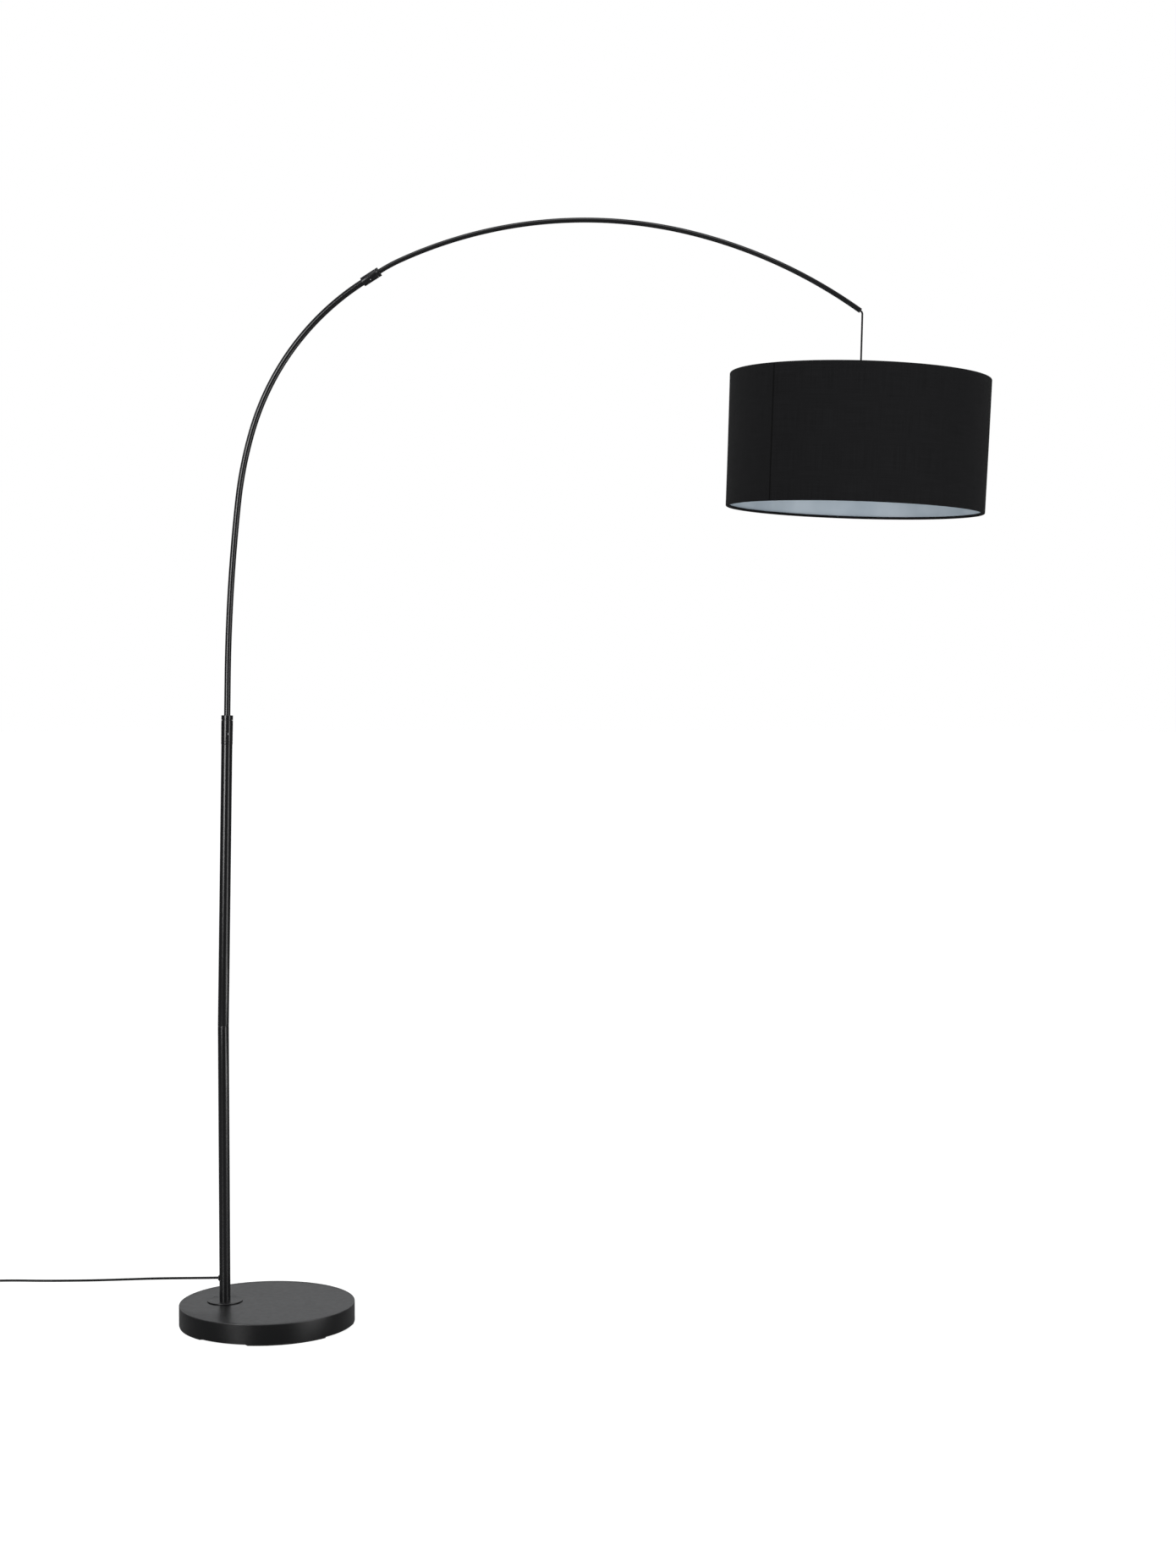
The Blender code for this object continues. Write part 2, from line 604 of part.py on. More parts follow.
def make_arm(leaning):
    """The two bent tubes and what joins them. Returns the arm's end and its heading, in the leaning frame."""
    start = (0.0, COLLAR_FOOT - LOWER_ARC_BELOW_COLLAR)
    half = ARC_COLLAR_LENGTH / 2
    runs = [(LOWER_ARC_BELOW_COLLAR + COLLAR_LENGTH + LOWER_ARC_STRAIGHT, None), *LOWER_ARC_BENDS]
    lower, heading = bend_points(start, math.pi / 2, runs)
    joint = lower[-1]
    forward = Vector((math.cos(heading), 0.0, math.sin(heading)))
    middle = Vector(joint) + forward * half
    pipe("lower_arc_tube", [*lower, tuple(middle)], LOWER_ARC_DIAMETER, LOWER_ARC_WALL, BLACK_TUBE,
         parent=leaning)
    runs = [(ARC_COLLAR_LENGTH, None), *UPPER_ARC_BENDS, (UPPER_ARC_TIP_STRAIGHT, None)]
    upper, end_heading = bend_points((joint[0], joint[2]), heading, runs)
    pipe("upper_arc_tube", upper, UPPER_ARC_DIAMETER, UPPER_ARC_WALL, BLACK_TUBE, parent=leaning)
    make_arc_collar(leaning, middle, heading)
    end = Vector(upper[-1])
    outward = Vector((math.cos(end_heading), 0.0, math.sin(end_heading)))
    tip = frame("arm_tip_frame", end, leaning, tilt=90.0 - math.degrees(end_heading))
    bush = UPPER_RADIUS - UPPER_ARC_WALL - GAP
    face = GAP + TIP_BUSH_FLANGE
    foot = GAP - TIP_BUSH_LENGTH
    turned("tip_bush", [
        (UPPER_RADIUS - SMALL_CHAMFER, face), (UPPER_RADIUS - TIP_BUSH_SHOULDER, GAP), (bush, GAP),
        (bush, foot), (CABLE_FEED, foot), (CABLE_FEED, face),
    ], RUBBER, SMALL_SEGMENTS, parent=tip)
    rod("arm_cable", [lower[0], *lower[1:-1], *upper[:-1], tuple(end - outward * TIP_BUSH_LENGTH / 4)],
        LAMP_CABLE_DIAMETER, CABLE, parent=leaning)
    return end + outward * face, end_heading


def make_arc_collar(leaning, middle, heading):
    place = frame("arc_collar_frame", middle, leaning, tilt=90.0 - math.degrees(heading))
    half = ARC_COLLAR_LENGTH / 2
    outer = ARC_RADIUS + ARC_COLLAR_WALL
    wide = ARC_RADIUS + ARC_COLLAR_CLEARANCE
    narrow = UPPER_RADIUS + ARC_COLLAR_CLEARANCE
    head = half - ARC_CAP_LENGTH - COLLAR_GROOVE
    body = turned("arc_collar_body", [
        (outer, head), (outer, -half + SMALL_EDGE), (outer - SMALL_EDGE, -half), (wide, -half),
        (wide, GAP), (narrow, GAP), (narrow, head),
    ], BLACK_TUBE, parent=place)
    turned("arc_collar_cap", ring_profile(narrow, outer, head + COLLAR_GROOVE, half, SMALL_EDGE),
           BLACK_TUBE, parent=place)
    grub("arc_grub_screw", ARC_GRUB_DIAMETER, wide, outer - GRUB_DEPTH, ARC_GRUB_ANGLE,
         -ARC_GRUB_BELOW_MIDDLE, place, body)


def make_pendant(mouth, heading):
    """The cord's bend below the arm's mouth, and its drop. Returns the point where it meets the grip."""
    x, _, z = mouth
    turn = math.pi / 2 + heading
    steps = 5
    points = [tuple(mouth)]
    chord = 2 * PENDANT_BEND_RADIUS * math.sin(turn / steps / 2)
    for step in range(steps):
        angle = heading - turn * (step + 0.5) / steps
        x += chord * math.cos(angle)
        z += chord * math.sin(angle)
        points.append((x, 0.0, z))
    knuckle = Vector((x, 0.0, z - PENDANT_BEND_TAIL))
    rod("pendant_cord_top", [*points, tuple(knuckle)], LAMP_CABLE_DIAMETER, CABLE)
    grip_top = Vector((x - PENDANT_SET_BACK, 0.0, mouth[2] - PENDANT_DROP))
    inside = Vector((0.0, 0.0, -GRIP_LENGTH - CAP_HEIGHT / 2))
    into_cap = Matrix.Rotation(math.radians(SHADE_TILT), 3, "Y") @ inside
    top = knuckle - Vector((0.0, 0.0, KNUCKLE_GAP))
    rod("pendant_cord", [tuple(top), tuple(grip_top), tuple(grip_top + into_cap)],
        LAMP_CABLE_DIAMETER, CABLE)
    return grip_top


CAP_BOTTOM = -GRIP_LENGTH - GAP - CAP_HEIGHT
BODY_TOP = CAP_BOTTOM - GAP
HUB_TOP = BODY_TOP - HOLDER_NECK
HUB_BOTTOM = HUB_TOP - HUB_THICKNESS
SKIRT_BOTTOM = HUB_TOP - HOLDER_SKIRT
INSERT_TOP = BODY_TOP - INSERT_DEPTH
BULB_CAP_TOP = INSERT_TOP - INSERT_LENGTH - GAP
GLASS_TOP = BULB_CAP_TOP - BULB_CAP_LENGTH - GAP
SHADE_TOP = HUB_TOP - HUB_THICKNESS / 2 + SPIDER_DROP
SHADE_BOTTOM = SHADE_TOP - SHADE_HEIGHT


def make_lampholder(hung):
    bore = HOLDER_RADIUS - HOLDER_WALL
    turned("cord_grip", ring_profile(CABLE_FEED, GRIP_RADIUS, -GRIP_LENGTH, 0.0, MOULDED_EDGE), PLASTIC,
           SMALL_SEGMENTS, parent=hung)
    top = -GRIP_LENGTH - GAP
    straight = CAP_BOTTOM + CAP_STRAIGHT
    dome = []
    for step in range(5):
        angle = math.pi / 2 * (1 - step / 4)
        dome.append((CAP_TOP_RADIUS + (HOLDER_RADIUS - CAP_TOP_RADIUS) * math.cos(angle),
                     straight + (top - straight) * math.sin(angle)))
    lining = [(max(CABLE_FEED, radius - HOLDER_WALL), height - HOLDER_WALL)
              for radius, height in reversed(dome)]
    turned("lampholder_cap", [
        *dome, (HOLDER_RADIUS, CAP_BOTTOM), (bore, CAP_BOTTOM), *lining,
        (CABLE_FEED, top - HOLDER_WALL), (CABLE_FEED, top),
    ], PLASTIC, parent=hung)
    flange_foot = HUB_TOP + GAP
    flange_top = flange_foot + HOLDER_FLANGE_THICKNESS
    flange = HOLDER_RADIUS + HOLDER_FLANGE_WIDTH
    turned("lampholder_body", [
        (HOLDER_RADIUS, BODY_TOP), (HOLDER_RADIUS, flange_top), (flange, flange_top),
        (flange, flange_foot), (HOLDER_RADIUS, flange_foot),
        (HOLDER_RADIUS, SKIRT_BOTTOM), (bore, SKIRT_BOTTOM), (bore, BODY_TOP),
    ], PLASTIC, parent=hung)
    turned("lampholder_insert", disc_profile(bore - GAP, INSERT_TOP - INSERT_LENGTH, INSERT_TOP), PLASTIC,
           SMALL_SEGMENTS, parent=hung)
    turned("shade_clamp_ring",
           ring_profile(HOLDER_RADIUS + GAP, CLAMP_RING_RADIUS, HUB_BOTTOM - GAP - CLAMP_RING_HEIGHT,
                        HUB_BOTTOM - GAP, MOULDED_EDGE), PLASTIC, parent=hung)
    turned("bulb_cap",
           disc_profile(BULB_CAP_RADIUS, BULB_CAP_TOP - BULB_CAP_LENGTH, BULB_CAP_TOP, BULB_CAP_EDGE),
           BRASS, SMALL_SEGMENTS, parent=hung)
    turned("bulb_glass", [*bulb_side(BULB_WALL), *reversed(bulb_side(0.0))], GLASS, parent=hung)


def bulb_side(inset):
    """Half of the bulb's outline from its lowest point up to the neck, inset from the outer surface."""
    bottom = GLASS_TOP - BULB_LENGTH
    neck = BULB_CAP_RADIUS - BULB_NECK_STEP
    side = []
    for angle in range(-90, 51, 20):
        swing = math.radians(angle)
        side.append(((BULB_RADIUS - inset) * math.cos(swing) if angle > -90 else 0.0,
                     bottom + BULB_RADIUS + (BULB_RADIUS - inset) * math.sin(swing)))
    side.append((neck + BULB_NECK_FLARE - inset, GLASS_TOP - BULB_NECK_LENGTH))
    side.append((neck - inset, GLASS_TOP))
    return side


def make_shade(hung):
    def radius(height):
        share = (height - SHADE_BOTTOM) / SHADE_HEIGHT
        return SHADE_BOTTOM_RADIUS + share * (SHADE_TOP_RADIUS - SHADE_BOTTOM_RADIUS)

    wire = SHADE_WIRE_DIAMETER / 2
    liner_gap = SKIN_THICKNESS + GAP
    wire_inset = liner_gap + LINER_THICKNESS + GAP + wire
    fold = wire_inset + wire + GAP + SKIN_THICKNESS
    inner_top = SHADE_TOP - SKIN_THICKNESS
    inner_bottom = SHADE_BOTTOM + SKIN_THICKNESS
    top_hem = SHADE_TOP - HEM
    bottom_hem = SHADE_BOTTOM + HEM
    turned("shade_skin", [
        (radius(SHADE_TOP), SHADE_TOP), (radius(SHADE_BOTTOM), SHADE_BOTTOM),
        (radius(SHADE_BOTTOM) - fold, SHADE_BOTTOM), (radius(bottom_hem) - fold, bottom_hem),
        (radius(bottom_hem) - fold + SKIN_THICKNESS, bottom_hem),
        (radius(inner_bottom) - fold + SKIN_THICKNESS, inner_bottom),
        (radius(inner_bottom) - SKIN_THICKNESS, inner_bottom),
        (radius(inner_top) - SKIN_THICKNESS, inner_top),
        (radius(inner_top) - fold + SKIN_THICKNESS, inner_top),
        (radius(top_hem) - fold + SKIN_THICKNESS, top_hem),
        (radius(top_hem) - fold, top_hem), (radius(SHADE_TOP) - fold, SHADE_TOP),
    ], BLACK_FABRIC, SHADE_SEGMENTS, parent=hung)
    liner_top = inner_top - GAP
    liner_bottom = inner_bottom + GAP
    turned("shade_liner", [
        (radius(liner_top) - liner_gap, liner_top), (radius(liner_bottom) - liner_gap, liner_bottom),
        (radius(liner_bottom) - liner_gap - LINER_THICKNESS, liner_bottom),
        (radius(liner_top) - liner_gap - LINER_THICKNESS, liner_top),
    ], LINER_WHITE, SHADE_SEGMENTS, parent=hung)
    ring_height = inner_top - GAP - wire
    for name, height in (("shade_top_ring", ring_height), ("shade_bottom_ring", inner_bottom + GAP + wire)):
        section = [(radius(height) - wire_inset + wire * math.cos(math.radians(-60 * step)),
                    height + wire * math.sin(math.radians(-60 * step))) for step in range(6)]
        turned(name, section, STEEL, SHADE_SEGMENTS, parent=hung)
    turned("spider_hub", ring_profile(HOLDER_RADIUS + 2 * GAP, HUB_RADIUS, HUB_BOTTOM, HUB_TOP), STEEL,
           parent=hung)
    spoke_height = (HUB_TOP + HUB_BOTTOM) / 2
    reach = radius(ring_height) - fold - GAP
    for number in range(SPOKE_COUNT):
        angle = FIRST_SPOKE_ANGLE + number * 360.0 / SPOKE_COUNT
        x, y = polar(1.0, angle)
        inner = HUB_RADIUS + 2 * GAP
        rise = top_hem - SPOKE_DIAMETER / 2 - GAP
        bend = reach - SPOKE_FLAT
        rod(f"spider_spoke_{number + 1}", [
            (inner * x, inner * y, spoke_height), (bend * x, bend * y, rise), (reach * x, reach * y, rise),
        ], SPOKE_DIAMETER, STEEL, parent=hung)


def make_cord():
    rod("mains_cord", smooth_route(CORD_ROUTE, CORD_SPACING), MAINS_DIAMETER, CABLE)
    rod("switch_lead", smooth_route(SWITCH_LEAD_ROUTE, CORD_SPACING), MAINS_DIAMETER, CABLE)
    turned("cord_coil", ring_profile(COIL_INNER_RADIUS, COIL_OUTER_RADIUS, GAP, COIL_HEIGHT, COIL_EDGE),
           CABLE, location=(*COIL_CENTRE, 0.0))
    rod("plug_lead", smooth_route(PLUG_LEAD_ROUTE, CORD_SPACING), MAINS_DIAMETER, CABLE)


def relief_profile(length, foot_radius):
    tip = MAINS_DIAMETER / 2 + RELIEF_TIP_WALL
    return [(0.0, length), (tip, length), (foot_radius, RELIEF_RIM), (foot_radius, 0.0), (0.0, 0.0)]


def make_switch():
    x, y = SWITCH_CENTRE
    box("switch_base", (SWITCH_WIDTH, SWITCH_LENGTH, SWITCH_BASE_HEIGHT), PLASTIC, MOULDED_EDGE,
        location=(x, y, SWITCH_BASE_HEIGHT / 2))
    cover_bottom = SWITCH_BASE_HEIGHT + GAP
    cover = box("switch_cover", (SWITCH_WIDTH, SWITCH_LENGTH, SWITCH_COVER_HEIGHT), PLASTIC,
                SWITCH_COVER_EDGE, location=(x, y, cover_bottom + SWITCH_COVER_HEIGHT / 2))
    slot = box("button_slot_cutter", (BUTTON_WIDTH + 2 * BUTTON_CLEARANCE,
                                      BUTTON_LENGTH + 2 * BUTTON_CLEARANCE, SWITCH_COVER_HEIGHT * 2), PLASTIC,
               location=(x, y, cover_bottom + SWITCH_COVER_HEIGHT / 2))
    LAMP.objects.unlink(slot)
    CUTTERS.objects.link(slot)
    slot.hide_render = True
    slot.display_type = "WIRE"
    cut = cover.modifiers.new("Button slot", "BOOLEAN")
    cut.operation = "DIFFERENCE"
    cut.solver = "EXACT"
    cut.object = slot
    button_bottom = cover_bottom + BUTTON_TRAVEL + BUTTON_FLOOR
    box("switch_button", (BUTTON_WIDTH, BUTTON_LENGTH, BUTTON_HEIGHT), PLASTIC, MOULDED_EDGE,
        location=(x, y, button_bottom + BUTTON_HEIGHT / 2))
    profile = relief_profile(RELIEF_LENGTH, RELIEF_FOOT_RADIUS)
    for name, side in (("switch_relief_in", 1), ("switch_relief_out", -1)):
        turned(name, profile, RUBBER, SMALL_SEGMENTS, rotation=(-side * math.pi / 2, 0, 0),
               location=(x, y + side * (SWITCH_LENGTH / 2 + GAP), CORD_IN_SWITCH_HEIGHT))


def make_plug():
    x, y, _ = PLUG_LEAD_ROUTE[-1]
    heading = math.radians(PLUG_HEADING)
    height = PLUG_HEIGHT / 2 + GAP
    place = frame("plug_frame", (x + 2 * GAP * math.cos(heading), y + 2 * GAP * math.sin(heading), height),
                  turn=PLUG_HEADING)
    turned("plug_relief", relief_profile(PLUG_RELIEF_LENGTH, PLUG_RELIEF_FOOT_RADIUS), RUBBER,
           SMALL_SEGMENTS, parent=place, location=(PLUG_RELIEF_LENGTH, 0, 0), rotation=(0, -math.pi / 2, 0))
    middle = PLUG_RELIEF_LENGTH + GAP + PLUG_LENGTH / 2
    box("plug_body", (PLUG_LENGTH, PLUG_WIDTH, PLUG_HEIGHT), PLASTIC, PLUG_EDGE, parent=place,
        location=(middle, 0, 0))
    face = middle + PLUG_LENGTH / 2 + GAP
    for name, side in (("plug_pin_left", 1), ("plug_pin_right", -1)):
        turned(name, disc_profile(PIN_DIAMETER / 2, 0.0, PIN_LENGTH, PIN_TIP), STEEL, SMALL_SEGMENTS,
               parent=place, location=(face, side * PIN_SPREAD / 2, 0), rotation=(0, math.pi / 2, 0))


def main():
    make_base()
    make_lower_pole()
    leaning = frame("leaning_pole_frame", POLE_JOINT, tilt=POLE_LEAN)
    make_upper_pole(leaning)
    mouth, heading = make_arm(leaning)
    mouth = POLE_JOINT + LEAN.to_3x3() @ mouth
    heading -= math.radians(POLE_LEAN)
    grip_top = make_pendant(mouth, heading)
    hung = frame("shade_frame", grip_top, tilt=SHADE_TILT)
    make_lampholder(hung)
    make_shade(hung)
    make_cord()
    make_switch()
    make_plug()


main()
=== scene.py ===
# %% [markdown]
# # An arc floor lamp
# A heavy round base carries a two-piece pole. A thin steel arm slides and turns in a collar on
# top of the pole, curves over, and lets a drum shade hang from a short length of cord.
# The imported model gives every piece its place, so the script starts by loading it.

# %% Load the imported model
import json
import math

import bmesh
import bpy
from mathutils import Matrix, Vector


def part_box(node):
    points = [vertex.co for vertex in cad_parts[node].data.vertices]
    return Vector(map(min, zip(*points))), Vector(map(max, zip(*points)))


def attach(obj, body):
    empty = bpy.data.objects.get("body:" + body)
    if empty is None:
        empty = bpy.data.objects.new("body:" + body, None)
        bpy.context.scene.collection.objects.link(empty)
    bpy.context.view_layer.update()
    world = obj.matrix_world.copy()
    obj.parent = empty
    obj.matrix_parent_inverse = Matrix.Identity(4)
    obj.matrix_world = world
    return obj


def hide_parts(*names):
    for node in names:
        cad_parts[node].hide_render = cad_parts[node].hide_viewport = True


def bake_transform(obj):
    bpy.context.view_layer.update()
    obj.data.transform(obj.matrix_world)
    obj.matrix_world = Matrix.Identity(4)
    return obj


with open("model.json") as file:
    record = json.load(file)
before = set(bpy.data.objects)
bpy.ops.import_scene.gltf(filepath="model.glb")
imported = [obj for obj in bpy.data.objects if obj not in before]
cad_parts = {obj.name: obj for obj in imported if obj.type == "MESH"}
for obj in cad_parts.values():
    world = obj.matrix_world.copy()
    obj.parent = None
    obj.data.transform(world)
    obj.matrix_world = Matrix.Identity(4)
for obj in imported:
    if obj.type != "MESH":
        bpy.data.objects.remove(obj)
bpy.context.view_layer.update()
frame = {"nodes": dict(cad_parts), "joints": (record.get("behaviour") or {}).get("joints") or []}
joints = {joint["name"]: joint for joint in frame["joints"]}

# %% [markdown]
# ## The camera
# A lamp this tall is pictured from a few metres away with a moderately long lens, so that the
# pole stays straight. The camera stands at chest height and looks very slightly down. It is a
# little to the left of the shade, turned so that the arm runs across the picture.

# %% Camera
CAMERA_PLACE = (1.142, -4.774, 1.2832)
CAMERA_TURN = 5.92
CAMERA_TILT = -2.37
CAMERA_LENS = 56.24

camera_data = bpy.data.cameras.new("lamp_camera")
camera_data.lens = CAMERA_LENS
camera_data.sensor_width = 36.0
camera_data.clip_end = 200.0
camera = bpy.data.objects.new("lamp_camera", camera_data)
camera.location = CAMERA_PLACE
camera.rotation_euler = (math.radians(90.0 + CAMERA_TILT), 0.0, math.radians(CAMERA_TURN))
bpy.context.scene.collection.objects.link(camera)
bpy.context.scene.camera = camera

# %% [markdown]
# ## Local frames
# Most of the lamp is turned on a lathe, and a turned piece is easiest to describe round its own
# upright axis. A matrix then stands it in its place: on the floor under the pole, along the
# leaning upper pole, or under the hanging cord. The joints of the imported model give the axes.

# %% Frames of the pole, the leaning arm and the hanging shade
POLE_JOINT_HEIGHT = 0.597
swivel_point = Vector(joints["arm_swivel"]["pos_m"])
swivel_axis = Vector(joints["arm_swivel"]["axis"]).normalized()
pole_joint = swivel_point - swivel_axis * ((swivel_point.z - POLE_JOINT_HEIGHT) / swivel_axis.z)
SHADE_TILT = 2.2
PENDANT_DROP = 0.0989
PENDANT_SET_BACK = 0.0023


def upright_at(x, y, z=0.0):
    return Matrix.Translation((x, y, z))


def along(axis, origin):
    """A frame at origin with its Z along axis, which lies in the XZ plane."""
    z_axis = Vector(axis).normalized()
    y_axis = Vector((0.0, 1.0, 0.0))
    turned_frame = Matrix((y_axis.cross(z_axis), y_axis, z_axis)).transposed().to_4x4()
    return Matrix.Translation(origin) @ turned_frame


on_floor = Matrix.Identity(4)
pole_foot = upright_at(pole_joint.x, 0.0)
leaning = along(swivel_axis, pole_joint)
mouth = Vector(joints["shade_swing_in_arm_plane"]["pos_m"])
knuckle = Vector(joints["shade_swing_sideways"]["pos_m"])
grip_top = Vector((knuckle.x - PENDANT_SET_BACK, 0.0, mouth.z - PENDANT_DROP))
hung = Matrix.Translation(grip_top) @ Matrix.Rotation(math.radians(SHADE_TILT), 4, "Y")
lean = math.degrees(math.atan2(swivel_axis.x, swivel_axis.z))
print("upper pole leans", round(lean, 2), "degrees")

# %% [markdown]
# ## A lathe
# The base, the tubes, the collars, the lampholder and the shade are all round. Each is a section
# of (radius, height) points swept round its axis, as a lathe or a spinning tool makes it. A real
# metal edge is never perfectly sharp, so a third number rounds that corner of the section.
# The lathe also writes how worn each point can be: 1 on a rounded corner and 0 on a flat. The
# finishes read it to thin the paint along the edges.

# %% Rounding the corners of a section
CORNER_STEPS = 4


def rounded_section(corners, closed):
    """(radius, height, wear) points along a section, with an arc where a corner has a radius."""
    count = len(corners)
    points = []
    for index, corner in enumerate(corners):
        here = Vector(corner[:2])
        radius = corner[2] if len(corner) > 2 else 0.0
        at_end = not closed and index in (0, count - 1)
        if radius == 0.0 or at_end:
            points.append((here.x, here.y, 0.0))
            continue
        back = Vector(corners[index - 1][:2]) - here
        ahead = Vector(corners[(index + 1) % count][:2]) - here
        opening = back.angle(ahead)
        reach = min(radius / math.tan(opening / 2), back.length * 0.48, ahead.length * 0.48)
        start = here + back.normalized() * reach
        end = here + ahead.normalized() * reach
        for step in range(CORNER_STEPS + 1):
            share = step / CORNER_STEPS
            spot = start.lerp(here, share).lerp(here.lerp(end, share), share)
            points.append((spot.x, spot.y, 1.0 - abs(2.0 * share - 1.0)))
    return points


# %% Turning meshes into objects
CREASE = math.radians(38)


def new_piece(name, points, faces, surface, wear=None, place=on_floor, crease=CREASE):
    """An object from points and faces, with its surface coordinates in metres and its wear."""
    mesh = bpy.data.meshes.new(name)
    mesh.from_pydata(points, [], faces)
    layer = mesh.uv_layers.new(name="Surface")
    layer.data.foreach_set("uv", [number for pair in surface for number in pair])
    edge = mesh.attributes.new("edge_wear", "FLOAT", "POINT")
    edge.data.foreach_set("value", wear or [0.0] * len(points))
    mesh.shade_smooth()
    mesh.set_sharp_from_angle(angle=crease)
    mesh.validate()
    mesh.transform(place)
    made = bpy.data.objects.new(name, mesh)
    bpy.context.scene.collection.objects.link(made)
    return made


# %% The lathe
def turned(name, corners, place=on_floor, steps=96, shape=None):
    """A section swept round Z. It closes on itself, or on the axis if it starts there.

    shape(angle, radius, height) may move a point, for threads, knurls, seams and ribs.
    """
    closed = corners[0][0] > 0.0
    section = rounded_section(corners, closed)
    widest = max(radius for radius, _, _ in section)
    rows = len(section)
    points, wear, faces, surface = [], [], [], []
    run = [0.0]
    for a, b in zip(section, [*section[1:], section[0]]):
        run.append(run[-1] + math.dist(a[:2], b[:2]))
    for step in range(steps):
        angle = 2 * math.pi * step / steps
        for radius, height, worn in section:
            if shape and radius > 0.0:
                radius, height = shape(angle, radius, height)
            points.append((radius * math.cos(angle), radius * math.sin(angle), height))
            wear.append(worn)
    for step in range(steps):
        left, right = step * rows, (step + 1) % steps * rows
        u, u_next = (2 * math.pi * widest * turn / steps for turn in (step, step + 1))
        for row in range(rows if closed else rows - 1):
            low = (row + 1) % rows
            v, v_low = run[row], run[row + 1]
            if not closed and section[row][0] == 0.0:
                faces.append((0, left + low, right + low))
                surface += [(u, v), (u, v_low), (u_next, v_low)]
            elif not closed and section[low][0] == 0.0:
                faces.append((left + row, rows - 1, right + row))
                surface += [(u, v), (u, v_low), (u_next, v)]
            else:
                faces.append((left + row, left + low, right + low, right + row))
                surface += [(u, v), (u, v_low), (u_next, v_low), (u_next, v)]
    made = new_piece(name, points, faces, surface, wear, place)
    tidy_surface(made)
    return made


# %% [markdown]
# A section that starts on the axis puts one copy of its end point on every step of the turn. The
# next helper drops the copies that no face uses and sees that the faces look outwards.

# %% Cleaning a mesh
def tidy_surface(piece, weld=1e-6):
    work = bmesh.new()
    work.from_mesh(piece.data)
    loose = [vert for vert in work.verts if not vert.link_faces]
    bmesh.ops.delete(work, geom=loose, context="VERTS")
    bmesh.ops.remove_doubles(work, verts=work.verts, dist=weld)
    bmesh.ops.recalc_face_normals(work, faces=work.faces)
    work.to_mesh(piece.data)
    work.free()


def stands_for(piece, body, slot_name, *nodes):
    """Paints a piece, says which CAD nodes it stands for, and makes it ride on its body."""
    piece.data.materials.clear()
    piece.data.materials.append(FINISHES[slot_name])
    if nodes:
        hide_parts(*nodes)
    if body:
        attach(piece, body)
    return piece


# %% [markdown]
# ## Sweeping a tube
# Bent tubes, wires and cords are a circle carried along a line. The circle is turned as little
# as possible from one ring to the next, so that the surface doesn't twist. The tube can have a
# bore, as the steel arm has. The skin over the rings serves the moulded pieces as well.

# %% A skin over rings
def lofted(name, rings, spread, wear=None, place=on_floor, joined=False):
    """A skin over rings of points, capped at its ends, or joined from the last ring to the first.

    spread(ring, side) gives the surface coordinates there, in metres.
    """
    sides = len(rings[0])
    points = [point for ring in rings for point in ring]
    faces, surface = [], []
    for row in range(len(rings) if joined else len(rings) - 1):
        low, high = row * sides, (row + 1) % len(rings) * sides
        for k in range(sides):
            k_next = (k + 1) % sides
            faces.append((low + k, low + k_next, high + k_next, high + k))
            surface += [spread(row, k), spread(row, k + 1),
                        spread(row + 1, k + 1), spread(row + 1, k)]
    if not joined:
        for cap in (range(sides), range(len(points) - sides, len(points))):
            faces.append(tuple(cap))
            surface += [(0.0, 0.0)] * sides
    made = new_piece(name, points, faces, surface, wear, place)
    tidy_surface(made)
    return made


# %% A swept tube
def rings_along(path, radius, sides):
    """One ring of points round each point of the path."""
    rings = []
    side = None
    for index, spot in enumerate(path):
        before, after = path[max(index - 1, 0)], path[min(index + 1, len(path) - 1)]
        ahead = (after - before).normalized()
        if side is None:
            helper = Vector((0, 0, 1)) if abs(ahead.z) < 0.9 else Vector((0, 1, 0))
            side = ahead.cross(helper).normalized()
        side = (side - ahead * side.dot(ahead)).normalized()
        up = ahead.cross(side)
        turns = [2 * math.pi * k / sides for k in range(sides)]
        rings.append([spot + radius * (side * math.cos(turn) + up * math.sin(turn))
                      for turn in turns])
    return rings


def distances(line):
    """How far each point is along the line."""
    run = [0.0]
    for a, b in zip(line, line[1:]):
        run.append(run[-1] + (b - a).length)
    return run


def swept(name, path, radius, sides=16, bore=None, place=on_floor):
    """A solid round bar along the path, or a tube with a bore."""
    path = [Vector(point) for point in path]
    rings, run = rings_along(path, radius, sides), distances(path)
    if bore is not None:
        rings += reversed(rings_along(path, bore, sides))
        run += run[::-1]
    girth = 2 * math.pi * radius
    return lofted(name, rings, lambda ring, k: (girth * k / sides, run[ring % len(run)]),
                  place=place, joined=bore is not None)


# %% [markdown]
# ## Smooth routes
# A cord never has a corner, so its route is a smooth curve through a few points. The curve is
# read off at even steps, and its length is added up, because the length is what was bought.

# %% A smooth curve through points, and its length
def smooth_route(route, spacing):
    """Evenly spaced points on a Catmull-Rom curve through the route's points."""
    knots = [Vector(point) for point in route]
    knots = [2 * knots[0] - knots[1], *knots, 2 * knots[-1] - knots[-2]]
    fine = [knots[1]]
    for a, b, c, d in zip(knots, knots[1:], knots[2:], knots[3:]):
        for step in range(1, 25):
            t = step / 24
            fine.append(0.5 * (2 * b + (c - a) * t + (2 * a - 5 * b + 4 * c - d) * t**2
                               + (3 * b - a - 3 * c + d) * t**3))
    return even_steps(fine, spacing)


